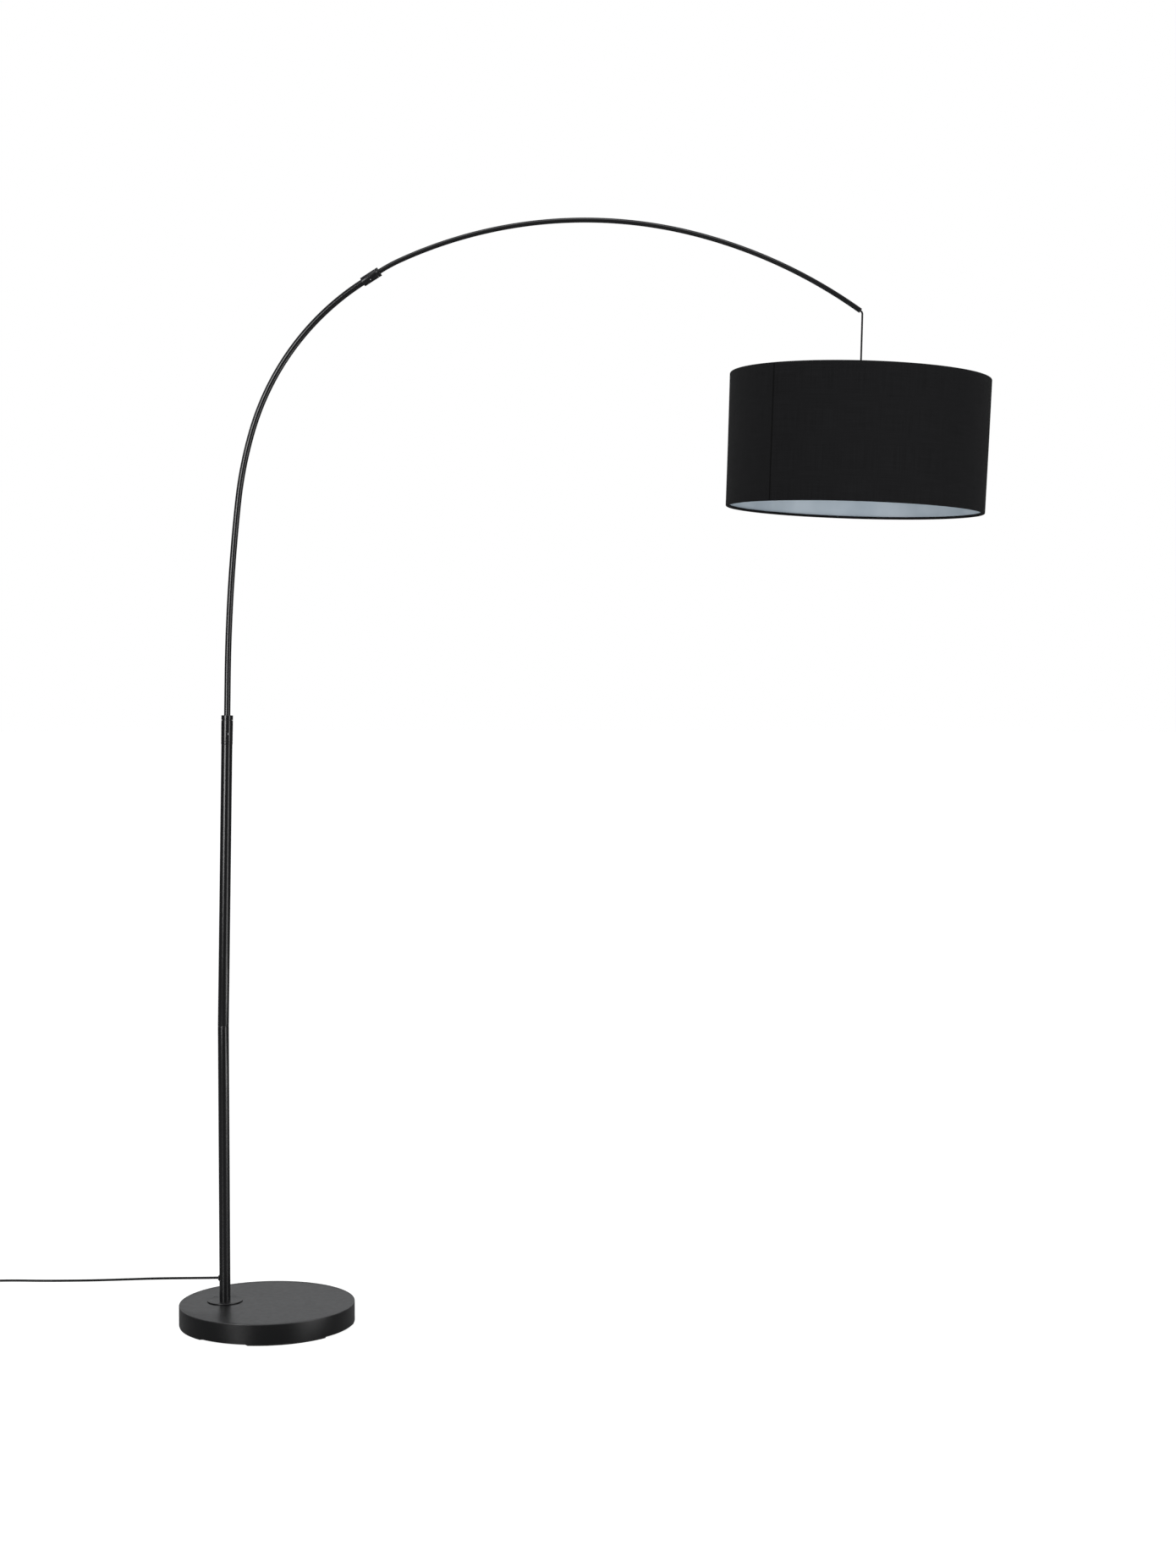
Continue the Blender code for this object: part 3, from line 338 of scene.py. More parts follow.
def even_steps(line, spacing):
    """The same line with its points spaced evenly."""
    run = distances(line)
    count = max(2, round(run[-1] / spacing))
    spots, index = [], 0
    for number in range(count + 1):
        reach = run[-1] * number / count
        while index < len(line) - 2 and run[index + 1] < reach:
            index += 1
        share = (reach - run[index]) / (run[index + 1] - run[index])
        spots.append(line[index].lerp(line[index + 1], share))
    return spots


def length_of(line):
    return distances(line)[-1]


# %% [markdown]
# ## Shared effects
# The finishes share a few effects: the fine orange peel of sprayed or moulded surfaces, wear on
# the edges, dust, and woven threads. Each one is built once as a node group with named inputs,
# and each finish places it with its own values. A group gives back only masks and heights, and
# the shader itself stays in the material.

# %% Helpers for node groups
def effect(name, inputs, outputs):
    """An empty node group with its named sockets: (label, value) in, and labels out."""
    group = bpy.data.node_groups.new(name, "ShaderNodeTree")
    for label, value in inputs:
        kind = "NodeSocketVector" if value is None else "NodeSocketFloat"
        made = group.interface.new_socket(name=label, in_out="INPUT", socket_type=kind)
        if value is not None:
            made.default_value = value
    for label in outputs:
        group.interface.new_socket(name=label, in_out="OUTPUT", socket_type="NodeSocketFloat")
    return group, group.nodes.new("NodeGroupInput"), group.nodes.new("NodeGroupOutput")


def sum_of(tree, operation, *terms):
    """A Math node; each term is a number or the socket it comes from."""
    node = tree.nodes.new("ShaderNodeMath")
    node.operation = operation
    for socket, term in zip(node.inputs, terms):
        if isinstance(term, (int, float)):
            socket.default_value = term
        else:
            tree.links.new(term, socket)
    return node.outputs[0]


# %% Noise textures
def noise(tree, coordinates, scale, detail=2.0, roughness=0.5):
    """A Noise Texture on given coordinates; scale is a number or a socket."""
    node = tree.nodes.new("ShaderNodeTexNoise")
    node.inputs["Detail"].default_value = detail
    node.inputs["Roughness"].default_value = roughness
    if isinstance(scale, (int, float)):
        node.inputs["Scale"].default_value = scale
    else:
        tree.links.new(scale, node.inputs["Scale"])
    tree.links.new(coordinates, node.inputs["Vector"])
    return node.outputs["Fac"]


def drawn_noise(tree, coordinates, scale):
    """Noise drawn out into lines by a different scale along each axis."""
    stretched = tree.nodes.new("ShaderNodeMapping")
    stretched.inputs["Scale"].default_value = scale
    tree.links.new(coordinates, stretched.inputs["Vector"])
    return noise(tree, stretched.outputs[0], 1.0)


# %% [markdown]
# Sprayed powder melts into a skin with a faint orange peel, and a moulded part copies the etched
# skin of its mould. Both are small rounded bumps with a slower waviness under them.

# %% Orange peel
peel, given, result = effect("Orange peel", [("Coordinates", None), ("Grain Per Metre", 900.0)],
                             ["Height", "Mottle"])
fine_bumps = noise(peel, given.outputs["Coordinates"], given.outputs["Grain Per Metre"], 1.5)
slow_scale = sum_of(peel, "MULTIPLY", given.outputs["Grain Per Metre"], 0.08)
slow_waves = noise(peel, given.outputs["Coordinates"], slow_scale, 2.0)
peel.links.new(sum_of(peel, "MULTIPLY_ADD", slow_waves, 0.6, fine_bumps), result.inputs["Height"])
peel.links.new(slow_waves, result.inputs["Mottle"])

# %% [markdown]
# Paint is thinnest on the edges, and hands, boxes and vacuum cleaners rub it there. The lathe
# stored where the edges are; noise breaks that line up so that the wear comes and goes.

# %% Edge wear
worn, given, result = effect("Edge wear", [("Coordinates", None), ("Amount", 0.5)], ["Mask"])
stored = worn.nodes.new("ShaderNodeAttribute")
stored.attribute_name = "edge_wear"
patches = noise(worn, given.outputs["Coordinates"], 70.0, 4.0, 0.65)
broken = sum_of(worn, "MULTIPLY", stored.outputs["Fac"], patches)
worn.links.new(sum_of(worn, "MULTIPLY", broken, given.outputs["Amount"]), result.inputs["Mask"])

# %% [markdown]
# Dust settles on whatever faces up, and fingers leave soft smudges. The up direction comes from
# the surface's own normal, so the dust stays on top in every view.

# %% Dust and smudges
dusty, given, result = effect("Dust and smudges", [("Coordinates", None), ("Amount", 0.5)],
                              ["Dust", "Smudge"])
facing = dusty.nodes.new("ShaderNodeNewGeometry")
split = dusty.nodes.new("ShaderNodeSeparateXYZ")
dusty.links.new(facing.outputs["Normal"], split.inputs[0])
upward = sum_of(dusty, "MAXIMUM", split.outputs["Z"], 0.0)
specks = noise(dusty, given.outputs["Coordinates"], 420.0, 6.0, 0.8)
sparse = sum_of(dusty, "MAXIMUM", sum_of(dusty, "SUBTRACT", specks, 0.58), 0.0)
settled = sum_of(dusty, "MULTIPLY", sum_of(dusty, "MULTIPLY", sparse, upward), 5.0)
dusty.links.new(sum_of(dusty, "MULTIPLY", settled, given.outputs["Amount"]), result.inputs["Dust"])
touched = noise(dusty, given.outputs["Coordinates"], 9.0, 3.0, 0.6)
dusty.links.new(sum_of(dusty, "MULTIPLY", touched, given.outputs["Amount"]),
                result.inputs["Smudge"])

# %% [markdown]
# A plain weave crosses two sets of threads, each going over one and under the next. On the
# surface coordinates, which are in metres, the threads are sine arches, and the odd and even
# crossings choose which set is on top. A slow noise makes some threads thicker, as in real yarn.

# %% Plain weave
weave, given, result = effect("Plain weave", [("Coordinates", None), ("Thread Pitch", 0.0005)],
                              ["Height", "Thread Shade"])
axes = weave.nodes.new("ShaderNodeSeparateXYZ")
weave.links.new(given.outputs["Coordinates"], axes.inputs[0])


def arch(across):
    """One arch for each thread, by the number of threads from the start."""
    half_turns = sum_of(weave, "MULTIPLY", across, math.pi)
    return sum_of(weave, "ABSOLUTE", sum_of(weave, "SINE", half_turns))


warp = sum_of(weave, "DIVIDE", axes.outputs["X"], given.outputs["Thread Pitch"])
weft = sum_of(weave, "DIVIDE", axes.outputs["Y"], given.outputs["Thread Pitch"])
warp_arch, weft_arch = arch(warp), arch(weft)
crossing = sum_of(weave, "ADD", sum_of(weave, "FLOOR", warp), sum_of(weave, "FLOOR", weft))
warp_on_top = sum_of(weave, "PINGPONG", crossing, 1.0)
warp_bow = sum_of(weave, "MULTIPLY", warp_arch, sum_of(weave, "MULTIPLY_ADD", weft_arch, 0.5, 0.5))
weft_bow = sum_of(weave, "MULTIPLY", weft_arch, sum_of(weave, "MULTIPLY_ADD", warp_arch, 0.5, 0.5))
chosen_warp = sum_of(weave, "MULTIPLY", warp_bow, warp_on_top)
chosen_weft = sum_of(weave, "MULTIPLY", weft_bow, sum_of(weave, "SUBTRACT", 1.0, warp_on_top))
weave.links.new(sum_of(weave, "ADD", chosen_warp, chosen_weft), result.inputs["Height"])
upright_yarns = drawn_noise(weave, given.outputs["Coordinates"], (900.0, 14.0, 1.0))
level_yarns = drawn_noise(weave, given.outputs["Coordinates"], (14.0, 900.0, 1.0))
weave.links.new(sum_of(weave, "MULTIPLY", sum_of(weave, "ADD", upright_yarns, level_yarns), 0.5),
                result.inputs["Thread Shade"])

# %% [markdown]
# ## Building a finish
# A finish is a Principled shader. A value that is the same all over is set on the shader itself.
# A mask that varies goes through a colour ramp into the base colour, or through a range into the
# roughness, and heights go through a bump node into the normal. Each finish is filed under the
# name of the material slot that it fills.

# %% Helpers for finishes
FINISHES = {}


class Finish:
    def __init__(self, slot_name, roughness, metallic=0.0, ior=1.45):
        self.material = bpy.data.materials.new(f"{slot_name}_finish")
        FINISHES[slot_name] = self.material
        self.material.use_nodes = True
        self.tree = self.material.node_tree
        self.shader = self.tree.nodes["Principled BSDF"]
        self.shader.inputs["Roughness"].default_value = roughness
        self.shader.inputs["Metallic"].default_value = metallic
        self.shader.inputs["IOR"].default_value = ior
        self.places = self.tree.nodes.new("ShaderNodeTexCoord")

    def use(self, group, coordinates="Object", **values):
        """Places a shared effect and sets its inputs, named with underscores for spaces."""
        node = self.tree.nodes.new("ShaderNodeGroup")
        node.node_tree = group
        self.tree.links.new(self.places.outputs[coordinates], node.inputs["Coordinates"])
        for label, value in values.items():
            node.inputs[label.replace("_", " ")].default_value = value
        return node.outputs

    def colour(self, mask, low, high, start=0.0, end=1.0):
        """Base colour from low, where the mask is at start, to high, where it is at end."""
        ramp = self.tree.nodes.new("ShaderNodeValToRGB")
        ramp.color_ramp.elements[0].color = (*low, 1.0)
        ramp.color_ramp.elements[0].position = start
        ramp.color_ramp.elements[1].color = (*high, 1.0)
        ramp.color_ramp.elements[1].position = end
        self.tree.links.new(mask, ramp.inputs[0])
        self.tree.links.new(ramp.outputs[0], self.shader.inputs["Base Color"])

    def gloss(self, mask, low, high, start=0.0, end=1.0):
        """Roughness from low to high as the mask goes from start to end."""
        spread = self.tree.nodes.new("ShaderNodeMapRange")
        limits = {"From Min": start, "From Max": end, "To Min": low, "To Max": high}
        for label, value in limits.items():
            spread.inputs[label].default_value = value
        self.tree.links.new(mask, spread.inputs["Value"])
        self.tree.links.new(spread.outputs[0], self.shader.inputs["Roughness"])

    def bump(self, height, distance, strength=1.0):
        node = self.tree.nodes.new("ShaderNodeBump")
        node.inputs["Distance"].default_value = distance
        node.inputs["Strength"].default_value = strength
        self.tree.links.new(height, node.inputs["Height"])
        self.tree.links.new(node.outputs[0], self.shader.inputs["Normal"])


# %% Adding masks
def added(finish, *masks):
    """The sum of masks inside one finish."""
    total = masks[0]
    for mask in masks[1:]:
        total = sum_of(finish.tree, "ADD", total, mask)
    return total


# %% [markdown]
# ### Black powder coat
# The base cover and the foot flange are sprayed with satin black powder and baked. The skin is
# nearly smooth, with a fine peel, slight cloudiness in its gloss, dust on top and a faint greying
# where the rim is rubbed.

# %% Powder coat
powder = Finish("black_powder_coat", 0.36, ior=1.42)
powder_peel = powder.use(peel, Grain_Per_Metre=1300.0)
powder_wear = powder.use(worn, Amount=0.55)
powder_dust = powder.use(dusty, Amount=0.16)
powder.colour(added(powder, powder_wear["Mask"], powder_dust["Dust"]), (0.0038, 0.0038, 0.0042),
              (0.15, 0.15, 0.155))
powder.gloss(added(powder, powder_peel["Mottle"], powder_dust["Smudge"]), 0.30, 0.36, 0.2, 0.9)
powder.bump(powder_peel["Height"], 0.000010)

# %% [markdown]
# ### Satin black tube
# The tubes and collars are drawn steel with a smoother, glossier black. The drawing and polishing
# leave very faint lines along the tube, which show only as a slight break-up of the reflections.

# %% Satin tube
satin = Finish("black_satin_tube", 0.27, ior=1.45)
satin_peel = satin.use(peel, Grain_Per_Metre=1700.0)
satin_wear = satin.use(worn, Amount=0.3)
satin_dust = satin.use(dusty, Amount=0.10)
drawn_lines = drawn_noise(satin.tree, satin.places.outputs["UV"], (2600.0, 5.0, 1.0))
satin.colour(added(satin, satin_wear["Mask"], satin_dust["Dust"]), (0.006, 0.006, 0.0065),
             (0.13, 0.13, 0.135))
satin.gloss(added(satin, drawn_lines, satin_dust["Smudge"]), 0.18, 0.25, 0.3, 0.9)
satin.bump(added(satin, satin_peel["Height"], drawn_lines), 0.0000015)

# %% [markdown]
# ### Shade fabric and liner
# The drum is black cotton glued to a stiff white sheet. The cloth is a plain weave of about
# twenty threads a centimetre, dull, with a slight sheen at grazing angles from the loose fibres.
# The liner is smooth white plastic sheet, a little cool, which throws the light down. Where the
# cloth's two ends overlap, a darker upright line is painted along the seam: a painted shadow of the
# overlap's edge.

# %% Black cotton
TOP_RADIUS = 0.2511
SEAM_ANGLE = math.radians(-129.6)
SEAM_SHADOW_HALF_WIDTH = 0.0017
cotton = Finish("black_shade_fabric", 0.85, ior=1.4)
cotton.shader.inputs["Sheen Weight"].default_value = 0.03
cotton.shader.inputs["Sheen Roughness"].default_value = 0.45
cotton.shader.inputs["Specular IOR Level"].default_value = 0.12
cotton_weave = cotton.use(weave, "UV", Thread_Pitch=0.00048)
cotton_dust = cotton.use(dusty, Amount=0.2)
# A narrow strip either side of the seam is painted at the ramp's darkest tone: a painted shadow of
# the overlap's edge.
seam_along = TOP_RADIUS * (SEAM_ANGLE % (2 * math.pi))
cotton_along = cotton.tree.nodes.new("ShaderNodeSeparateXYZ")
cotton.tree.links.new(cotton.places.outputs["UV"], cotton_along.inputs[0])
from_seam = sum_of(cotton.tree, "ABSOLUTE",
                   sum_of(cotton.tree, "SUBTRACT", cotton_along.outputs["X"], seam_along))
outside_seam_shadow = sum_of(cotton.tree, "GREATER_THAN", from_seam, SEAM_SHADOW_HALF_WIDTH)
cotton_tone_with_seam_shadow = sum_of(cotton.tree, "MULTIPLY",
                     added(cotton, cotton_weave["Thread Shade"], cotton_dust["Dust"]), outside_seam_shadow)
cotton.colour(cotton_tone_with_seam_shadow, (0.0006, 0.0006, 0.0007), (0.0115, 0.0115, 0.0125), 0.1, 0.85)
cotton.gloss(cotton_weave["Thread Shade"], 0.78, 0.92)
cotton.bump(cotton_weave["Height"], 0.00010, 0.8)

# %% White liner
liner = Finish("white_liner", 0.34, ior=1.48)
liner_peel = liner.use(peel, Grain_Per_Metre=260.0)
liner_dust = liner.use(dusty, Amount=0.4)
liner.colour(added(liner, liner_peel["Mottle"], liner_dust["Dust"]), (0.45, 0.52, 0.58),
             (0.54, 0.61, 0.67), 0.3, 0.8)
liner.gloss(liner_peel["Mottle"], 0.30, 0.40)
liner.bump(liner_peel["Height"], 0.00012, 0.6)

# %% [markdown]
# ### Plastics, rubber and metals
# The lampholder, switch and plug are moulded with a lightly etched skin. The cords have a soft
# black sheath, and the pads and grommets are duller rubber. Bolts and wires are zinc plated, the
# weight is rough iron, and the lamp cap is brass.

# %% Smaller finishes
def moulded_finish(slot_name, low, high, roughness, grain, depth, metallic=0.0, wear=0.3, ior=1.46):
    made = Finish(slot_name, roughness, metallic, ior)
    skin = made.use(peel, Grain_Per_Metre=grain)
    rubbed = made.use(worn, Amount=wear)
    dust = made.use(dusty, Amount=0.15)
    made.colour(added(made, skin["Mottle"], rubbed["Mask"], dust["Dust"]), low, high, 0.35,
                1.3 if metallic else 1.1)
    made.gloss(added(made, skin["Mottle"], dust["Smudge"]), roughness - 0.05, roughness + 0.08, 0.3,
               0.9)
    made.bump(skin["Height"], depth)


moulded_finish("black_plastic", (0.009, 0.009, 0.0095), (0.05, 0.05, 0.052), 0.40, 2600, 0.00003)
moulded_finish("black_rubber", (0.011, 0.011, 0.011), (0.05, 0.05, 0.05), 0.72, 1500, 0.00005)
moulded_finish("black_cable", (0.005, 0.005, 0.0053), (0.022, 0.022, 0.023), 0.40, 1900, 0.00001,
               ior=1.25)
moulded_finish("zinc_steel", (0.46, 0.46, 0.47), (0.68, 0.68, 0.70), 0.34, 700, 0.00002, 1.0)
moulded_finish("cast_iron", (0.07, 0.068, 0.066), (0.20, 0.19, 0.18), 0.74, 420, 0.00022, 0.6)
moulded_finish("bulb_brass", (0.66, 0.53, 0.29), (0.82, 0.70, 0.43), 0.27, 600, 0.00002, 1.0)

# %% Opal glass
opal = Finish("frosted_glass", 0.42, ior=1.5)
opal_skin = opal.use(peel, Grain_Per_Metre=500.0)
opal.shader.inputs["Transmission Weight"].default_value = 0.35
opal.colour(opal_skin["Mottle"], (0.88, 0.89, 0.88), (0.94, 0.94, 0.93), 0.3, 0.7)
opal.bump(opal_skin["Height"], 0.00003)

# %% [markdown]
# ## The mains cord
# A two-core lead leaves the pole through a rubber grommet just above the base. It sags from there
# to the floor, because nothing holds it up, and runs off to the side. The rest of the lead and
# its foot switch are put away just outside the view, in a small coil with the plug beside it.
# The first stretch ends in the foot switch, so it is a cord of its own.

# %% Mains cord from the pole to the foot switch
MAINS_DIAMETER = 0.005
CORD_STEP = 0.004
CORD_ROUTE = (
    (-0.1019, 0.0000, 0.0885), (-0.1310, 0.0002, 0.0873), (-0.1754, 0.0086, 0.0837),
    (-0.2177, 0.0294, 0.0771), (-0.2615, 0.0631, 0.0671), (-0.3063, 0.1076, 0.0541),
    (-0.3514, 0.1542, 0.0406), (-0.3962, 0.1989, 0.0276), (-0.4401, 0.2346, 0.0170),
    (-0.4828, 0.2593, 0.0094), (-0.5244, 0.2725, 0.0048), (-0.5650, 0.2759, 0.0030),
    (-0.6049, 0.2740, 0.0029), (-0.6457, 0.2690, 0.0029), (-0.6860, 0.2590, 0.0029),
    (-0.7220, 0.2395, 0.0033), (-0.7490, 0.2110, 0.0045), (-0.7655, 0.1760, 0.0063),
    (-0.7700, 0.1540, 0.0070),
)
CORD_EXIT = (-0.0992, 0.0, 0.0885)
INTO_POLE = (-0.0949, 0.0, 0.0885)
INTO_SWITCH = (-0.7700, 0.1460, 0.0070)
mains_line = smooth_route([INTO_POLE, *CORD_ROUTE, INTO_SWITCH], CORD_STEP)
mains_cord = swept("mains_cord_sheath", mains_line, MAINS_DIAMETER / 2)
stands_for(mains_cord, "base", "black_cable", "mains_cord")
print("cord from pole to switch:", round(length_of(mains_line), 3), "m")

# %% [markdown]
# ### The coil
# Stored cord is wound by hand: each turn keeps its circle for most of the way round, then steps
# in or out by one cord's width to lie beside the last. The lower layer winds inwards in four
# turns. The upper layer climbs on top of it and winds out again, resting in the grooves.

# %% Sizes of the second stretch
SWITCH_LEAD_ROUTE = (
    (-0.7700, 0.0260, 0.0070), (-0.7706, 0.0140, 0.0058), (-0.7716, 0.0000, 0.0040),
    (-0.7724, -0.0140, 0.0030), (-0.7724, -0.0260, 0.0029),
)
PLUG_LEAD_ROUTE = (
    (-0.6985, -0.0240, 0.0068), (-0.6975, -0.0120, 0.0070), (-0.6960, 0.0000, 0.0071),
    (-0.6940, 0.0110, 0.0071),
)
COIL_CENTRE = Vector((-0.735, -0.045, 0.0))
LOWER_TURNS = (0.035, 0.030, 0.025, 0.020)
UPPER_TURNS = (0.0225, 0.0275, 0.0325)
LOWER_LAYER = 0.0029
UPPER_LAYER = 0.0076
LAST_TURN_SHARE = 0.5
STEP_SHARE = 0.17
TURN_POINTS = 48


# %% The line of the coil
def coil_line():
    """Points round the coil, anticlockwise from its left side."""
    turns = [(radius, LOWER_LAYER) for radius in LOWER_TURNS]
    turns += [(radius, UPPER_LAYER) for radius in UPPER_TURNS]
    spots = []
    total = len(turns) - 1 + LAST_TURN_SHARE
    for number in range(1, round(total * TURN_POINTS)):
        way = number / TURN_POINTS
        turn = int(way)
        radius, height = turns[turn]
        left = 1.0 - (way - turn)
        if left < STEP_SHARE and turn + 1 < len(turns):
            share = 1.0 - left / STEP_SHARE
            ease = share * share * (3 - 2 * share)
            radius += (turns[turn + 1][0] - radius) * ease
            height += (turns[turn + 1][1] - height) * ease
        angle = math.pi + 2 * math.pi * way
        across, along_y = radius * math.cos(angle), radius * math.sin(angle)
        spots.append(COIL_CENTRE + Vector((across, along_y, height)))
    return spots


# %% The second stretch itself
COIL_START_SKIP, COIL_THINNING = 3, 3
LEAD_STEP = 0.0025
plug_end = Vector(PLUG_LEAD_ROUTE[-1])
PLUG_HEADING = math.radians(80.0)
plug_ahead = Vector((math.cos(PLUG_HEADING), math.sin(PLUG_HEADING), 0.0))
wound = coil_line()[COIL_START_SKIP:-COIL_START_SKIP]
lead_route = [Vector((-0.7700, 0.0350, 0.0070)), *map(Vector, SWITCH_LEAD_ROUTE),
              *wound[::COIL_THINNING],
              *map(Vector, PLUG_LEAD_ROUTE), plug_end + plug_ahead * 0.010]
lead_line = smooth_route(lead_route, LEAD_STEP)
plug_lead = swept("coiled_lead_sheath", lead_line, MAINS_DIAMETER / 2)
stands_for(plug_lead, "base", "black_cable", "switch_lead", "cord_coil", "plug_lead")
print("cord from switch to plug:", round(length_of(lead_line), 3), "m")

# %% [markdown]
# The coil is held by a thin plastic-covered wire tie, wrapped once round the bundle as a closed
# band.

# %% Cord tie
TIE_ANGLE = math.radians(-118)
TIE_WIDTH = 0.0045
TIE_THICKNESS = 0.0004


def make_cord_tie():
    outward = Vector((math.cos(TIE_ANGLE), math.sin(TIE_ANGLE), 0.0))
    sideways = Vector((-outward.y, outward.x, 0.0))
    inner, outer, top = 0.0171, 0.0379, 0.0105
    corner = 0.0028
    loop = []
    for cx, cz, first in ((outer - corner, corner, -90), (outer - corner, top - corner, 0),
                          (inner + corner, top - corner, 90), (inner + corner, corner, 180)):
        for step in range(7):
            turn = math.radians(first + 15 * step)
            loop.append((cx + corner * math.cos(turn), cz + corner * math.sin(turn)))
    middle = Vector(((inner + outer) / 2, top / 2))
    rings = []
    for grow, side in ((0.0, -0.5), (0.0, 0.5), (TIE_THICKNESS, 0.5), (TIE_THICKNESS, -0.5)):
        ring = []
        for x, z in loop:
            away = (Vector((x, z)) - middle).normalized() * grow
            spot = COIL_CENTRE + outward * (x + away.x) + sideways * (side * TIE_WIDTH)
            ring.append((spot.x, spot.y, max(0.00002 + z * 0.001, z + away.y - TIE_THICKNESS)))
        rings.append(ring)
    tie = lofted("cord_tie", rings, lambda ring, k: (k * 0.002, ring * 0.002), joined=True)
    return stands_for(tie, "base", "black_plastic")


cord_tie = make_cord_tie()

# %% [markdown]
# ## Strain reliefs
# A lead breaks where it bends at a hard edge, so each housing ends in a tapered rubber sleeve.
# Grooves cut most of the way round let it bend evenly. It is turned here as rings that shrink
# towards the tip.

# %% Tapered strain relief
def strain_relief(name, length, foot_radius, place):
    tip_radius = MAINS_DIAMETER / 2 + 0.0007
    ribs = 6
    corners = [(0.0, length)]
    corners.append((tip_radius, length, 0.0004))
    for rib in range(ribs):
        upper = length - (rib + 0.45) * length / (ribs + 0.6)
        lower = upper - length * 0.055
        radius = tip_radius + (foot_radius - tip_radius) * (1 - upper / length)
        corners += [(radius, upper, 0.0003), (radius - 0.0009, upper - 0.0004, 0.0002),
                    (radius - 0.0009, lower + 0.0004, 0.0002), (radius + 0.0002, lower, 0.0003)]
    corners += [(foot_radius, 0.0018, 0.0004), (foot_radius, 0.0), (0.0, 0.0)]
    return turned(name, corners, place, 48)


# %% [markdown]
# ## Moulded housings
# The foot switch and the plug are soft-cornered mouldings. Their outline is a superellipse,
# between an oval and a rectangle, and layers of it that grow and shrink give the drafted sides
# and rounded rims that let a moulding leave its mould.

# %% A moulded body from layers
def moulded(name, half_x, half_y, layers, squareness, place, sides=72):
    """Layers of (height, inset) superellipse outlines, from the lowest to the highest."""
    power = 2 / squareness
    rings, wear = [], []
    for height, inset in layers:
        ring = []
        for k in range(sides):
            c, s = math.cos(2 * math.pi * k / sides), math.sin(2 * math.pi * k / sides)
            ring.append(((half_x - inset) * math.copysign(abs(c) ** power, c),
                         (half_y - inset) * math.copysign(abs(s) ** power, s), height))
        rings.append(ring)
        wear += [1.0 if 0.0 < inset < 0.0012 else 0.0] * sides
    return lofted(name, rings, lambda layer, k: (k * 0.002, layer * 0.002), wear, place)


def rim_layers(low, high, bottom_edge, top_edge, steps=4):
    """Layers with a quarter-round at the bottom and at the top."""
    turns = [math.pi / 2 * step / steps for step in range(steps + 1)]
    layers = [(low + bottom_edge * (1 - math.cos(turn)), bottom_edge * (1 - math.sin(turn)))
              for turn in turns]
    return layers + [(high - top_edge * (1 - math.sin(turn)), top_edge * (1 - math.cos(turn)))
                     for turn in turns]


# %% Cutting and joining
def shaped_by(piece, cutter, operation="DIFFERENCE"):
    """Cuts the cutter's shape from the piece, or joins it on, and removes the cutter."""
    change = piece.modifiers.new("shape", "BOOLEAN")
    change.operation = operation
    change.solver = "EXACT"
    change.object = cutter
    bpy.context.view_layer.update()
    evaluated = piece.evaluated_get(bpy.context.evaluated_depsgraph_get())
    changed = bpy.data.meshes.new_from_object(evaluated)
    piece.modifiers.clear()
    changed.name = piece.name
    piece.data = changed
    bpy.data.objects.remove(cutter)
    piece.data.set_sharp_from_angle(angle=CREASE)
    return piece


# %% [markdown]
# ### Foot switch
# A flat base and a domed cover are pressed together round the lead, and the button comes up
# through a slot in the cover. Three ribs on the button give a shoe some grip.

# %% Foot switch
SWITCH_X, SWITCH_Y = -0.770, 0.090
switch_place = upright_at(SWITCH_X, SWITCH_Y)
base_low, base_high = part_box("switch_base")
lid_low, lid_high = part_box("switch_cover")
button_low, button_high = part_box("switch_button")
half_width = (lid_high.x - lid_low.x) / 2
half_length = (lid_high.y - lid_low.y) / 2

switch_base = moulded("switch_base_moulding", half_width, half_length,
                      rim_layers(base_low.z, base_high.z, 0.0012, 0.0004), 7.0, switch_place)
stands_for(switch_base, "base", "black_plastic", "switch_base")
switch_cover = moulded("switch_cover_moulding", half_width, half_length,
                       rim_layers(lid_low.z, lid_high.z, 0.0004, 0.0040, 6), 7.0, switch_place)
SLOT_CLEARANCE = 0.0004
button_x = (button_high.x - button_low.x) / 2
button_y = (button_high.y - button_low.y) / 2
slot_cutter = moulded("slot_cutter", button_x + SLOT_CLEARANCE, button_y + SLOT_CLEARANCE,
                      [(lid_low.z - 0.005, 0.0), (lid_high.z + 0.005, 0.0)], 9.0, switch_place)
shaped_by(switch_cover, slot_cutter)
stands_for(switch_cover, "base", "black_plastic", "switch_cover")

# %% Switch button
switch_button = moulded("switch_button_moulding", button_x, button_y,
                        rim_layers(button_low.z, button_high.z - 0.0006, 0.0004, 0.0014, 5), 9.0,
                        switch_place)
RIB_SPACING = 0.005
for number in (-1, 0, 1):
    rib = moulded("rib", button_x * 0.68, 0.0009,
                  rim_layers(button_high.z - 0.0016, button_high.z, 0.0002, 0.0004),
                  3.0, upright_at(SWITCH_X, SWITCH_Y + number * RIB_SPACING), 32)
    shaped_by(switch_button, rib, "UNION")
stands_for(switch_button, "switch_button", "black_plastic", "switch_button")

# %% Reliefs on the foot switch
RELIEF_LENGTH = 0.024
for node, side in (("switch_relief_in", 1), ("switch_relief_out", -1)):
    low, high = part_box(node)
    face = low.y if side > 0 else high.y
    place = (Matrix.Translation((SWITCH_X, face - side * 0.0003, (low.z + high.z) / 2))
             @ Matrix.Rotation(-side * math.pi / 2, 4, "X"))
    relief = strain_relief(node + "_sleeve", RELIEF_LENGTH, 0.0055, place)
    stands_for(relief, "base", "black_rubber", node)

# %% [markdown]
# ### Plug
# The plug is one moulding round two pins: a flattened body that swells towards the pins, with
# finger grooves across it. The pins have plastic sleeves on their first half, so that a half
# drawn plug shows no live metal.

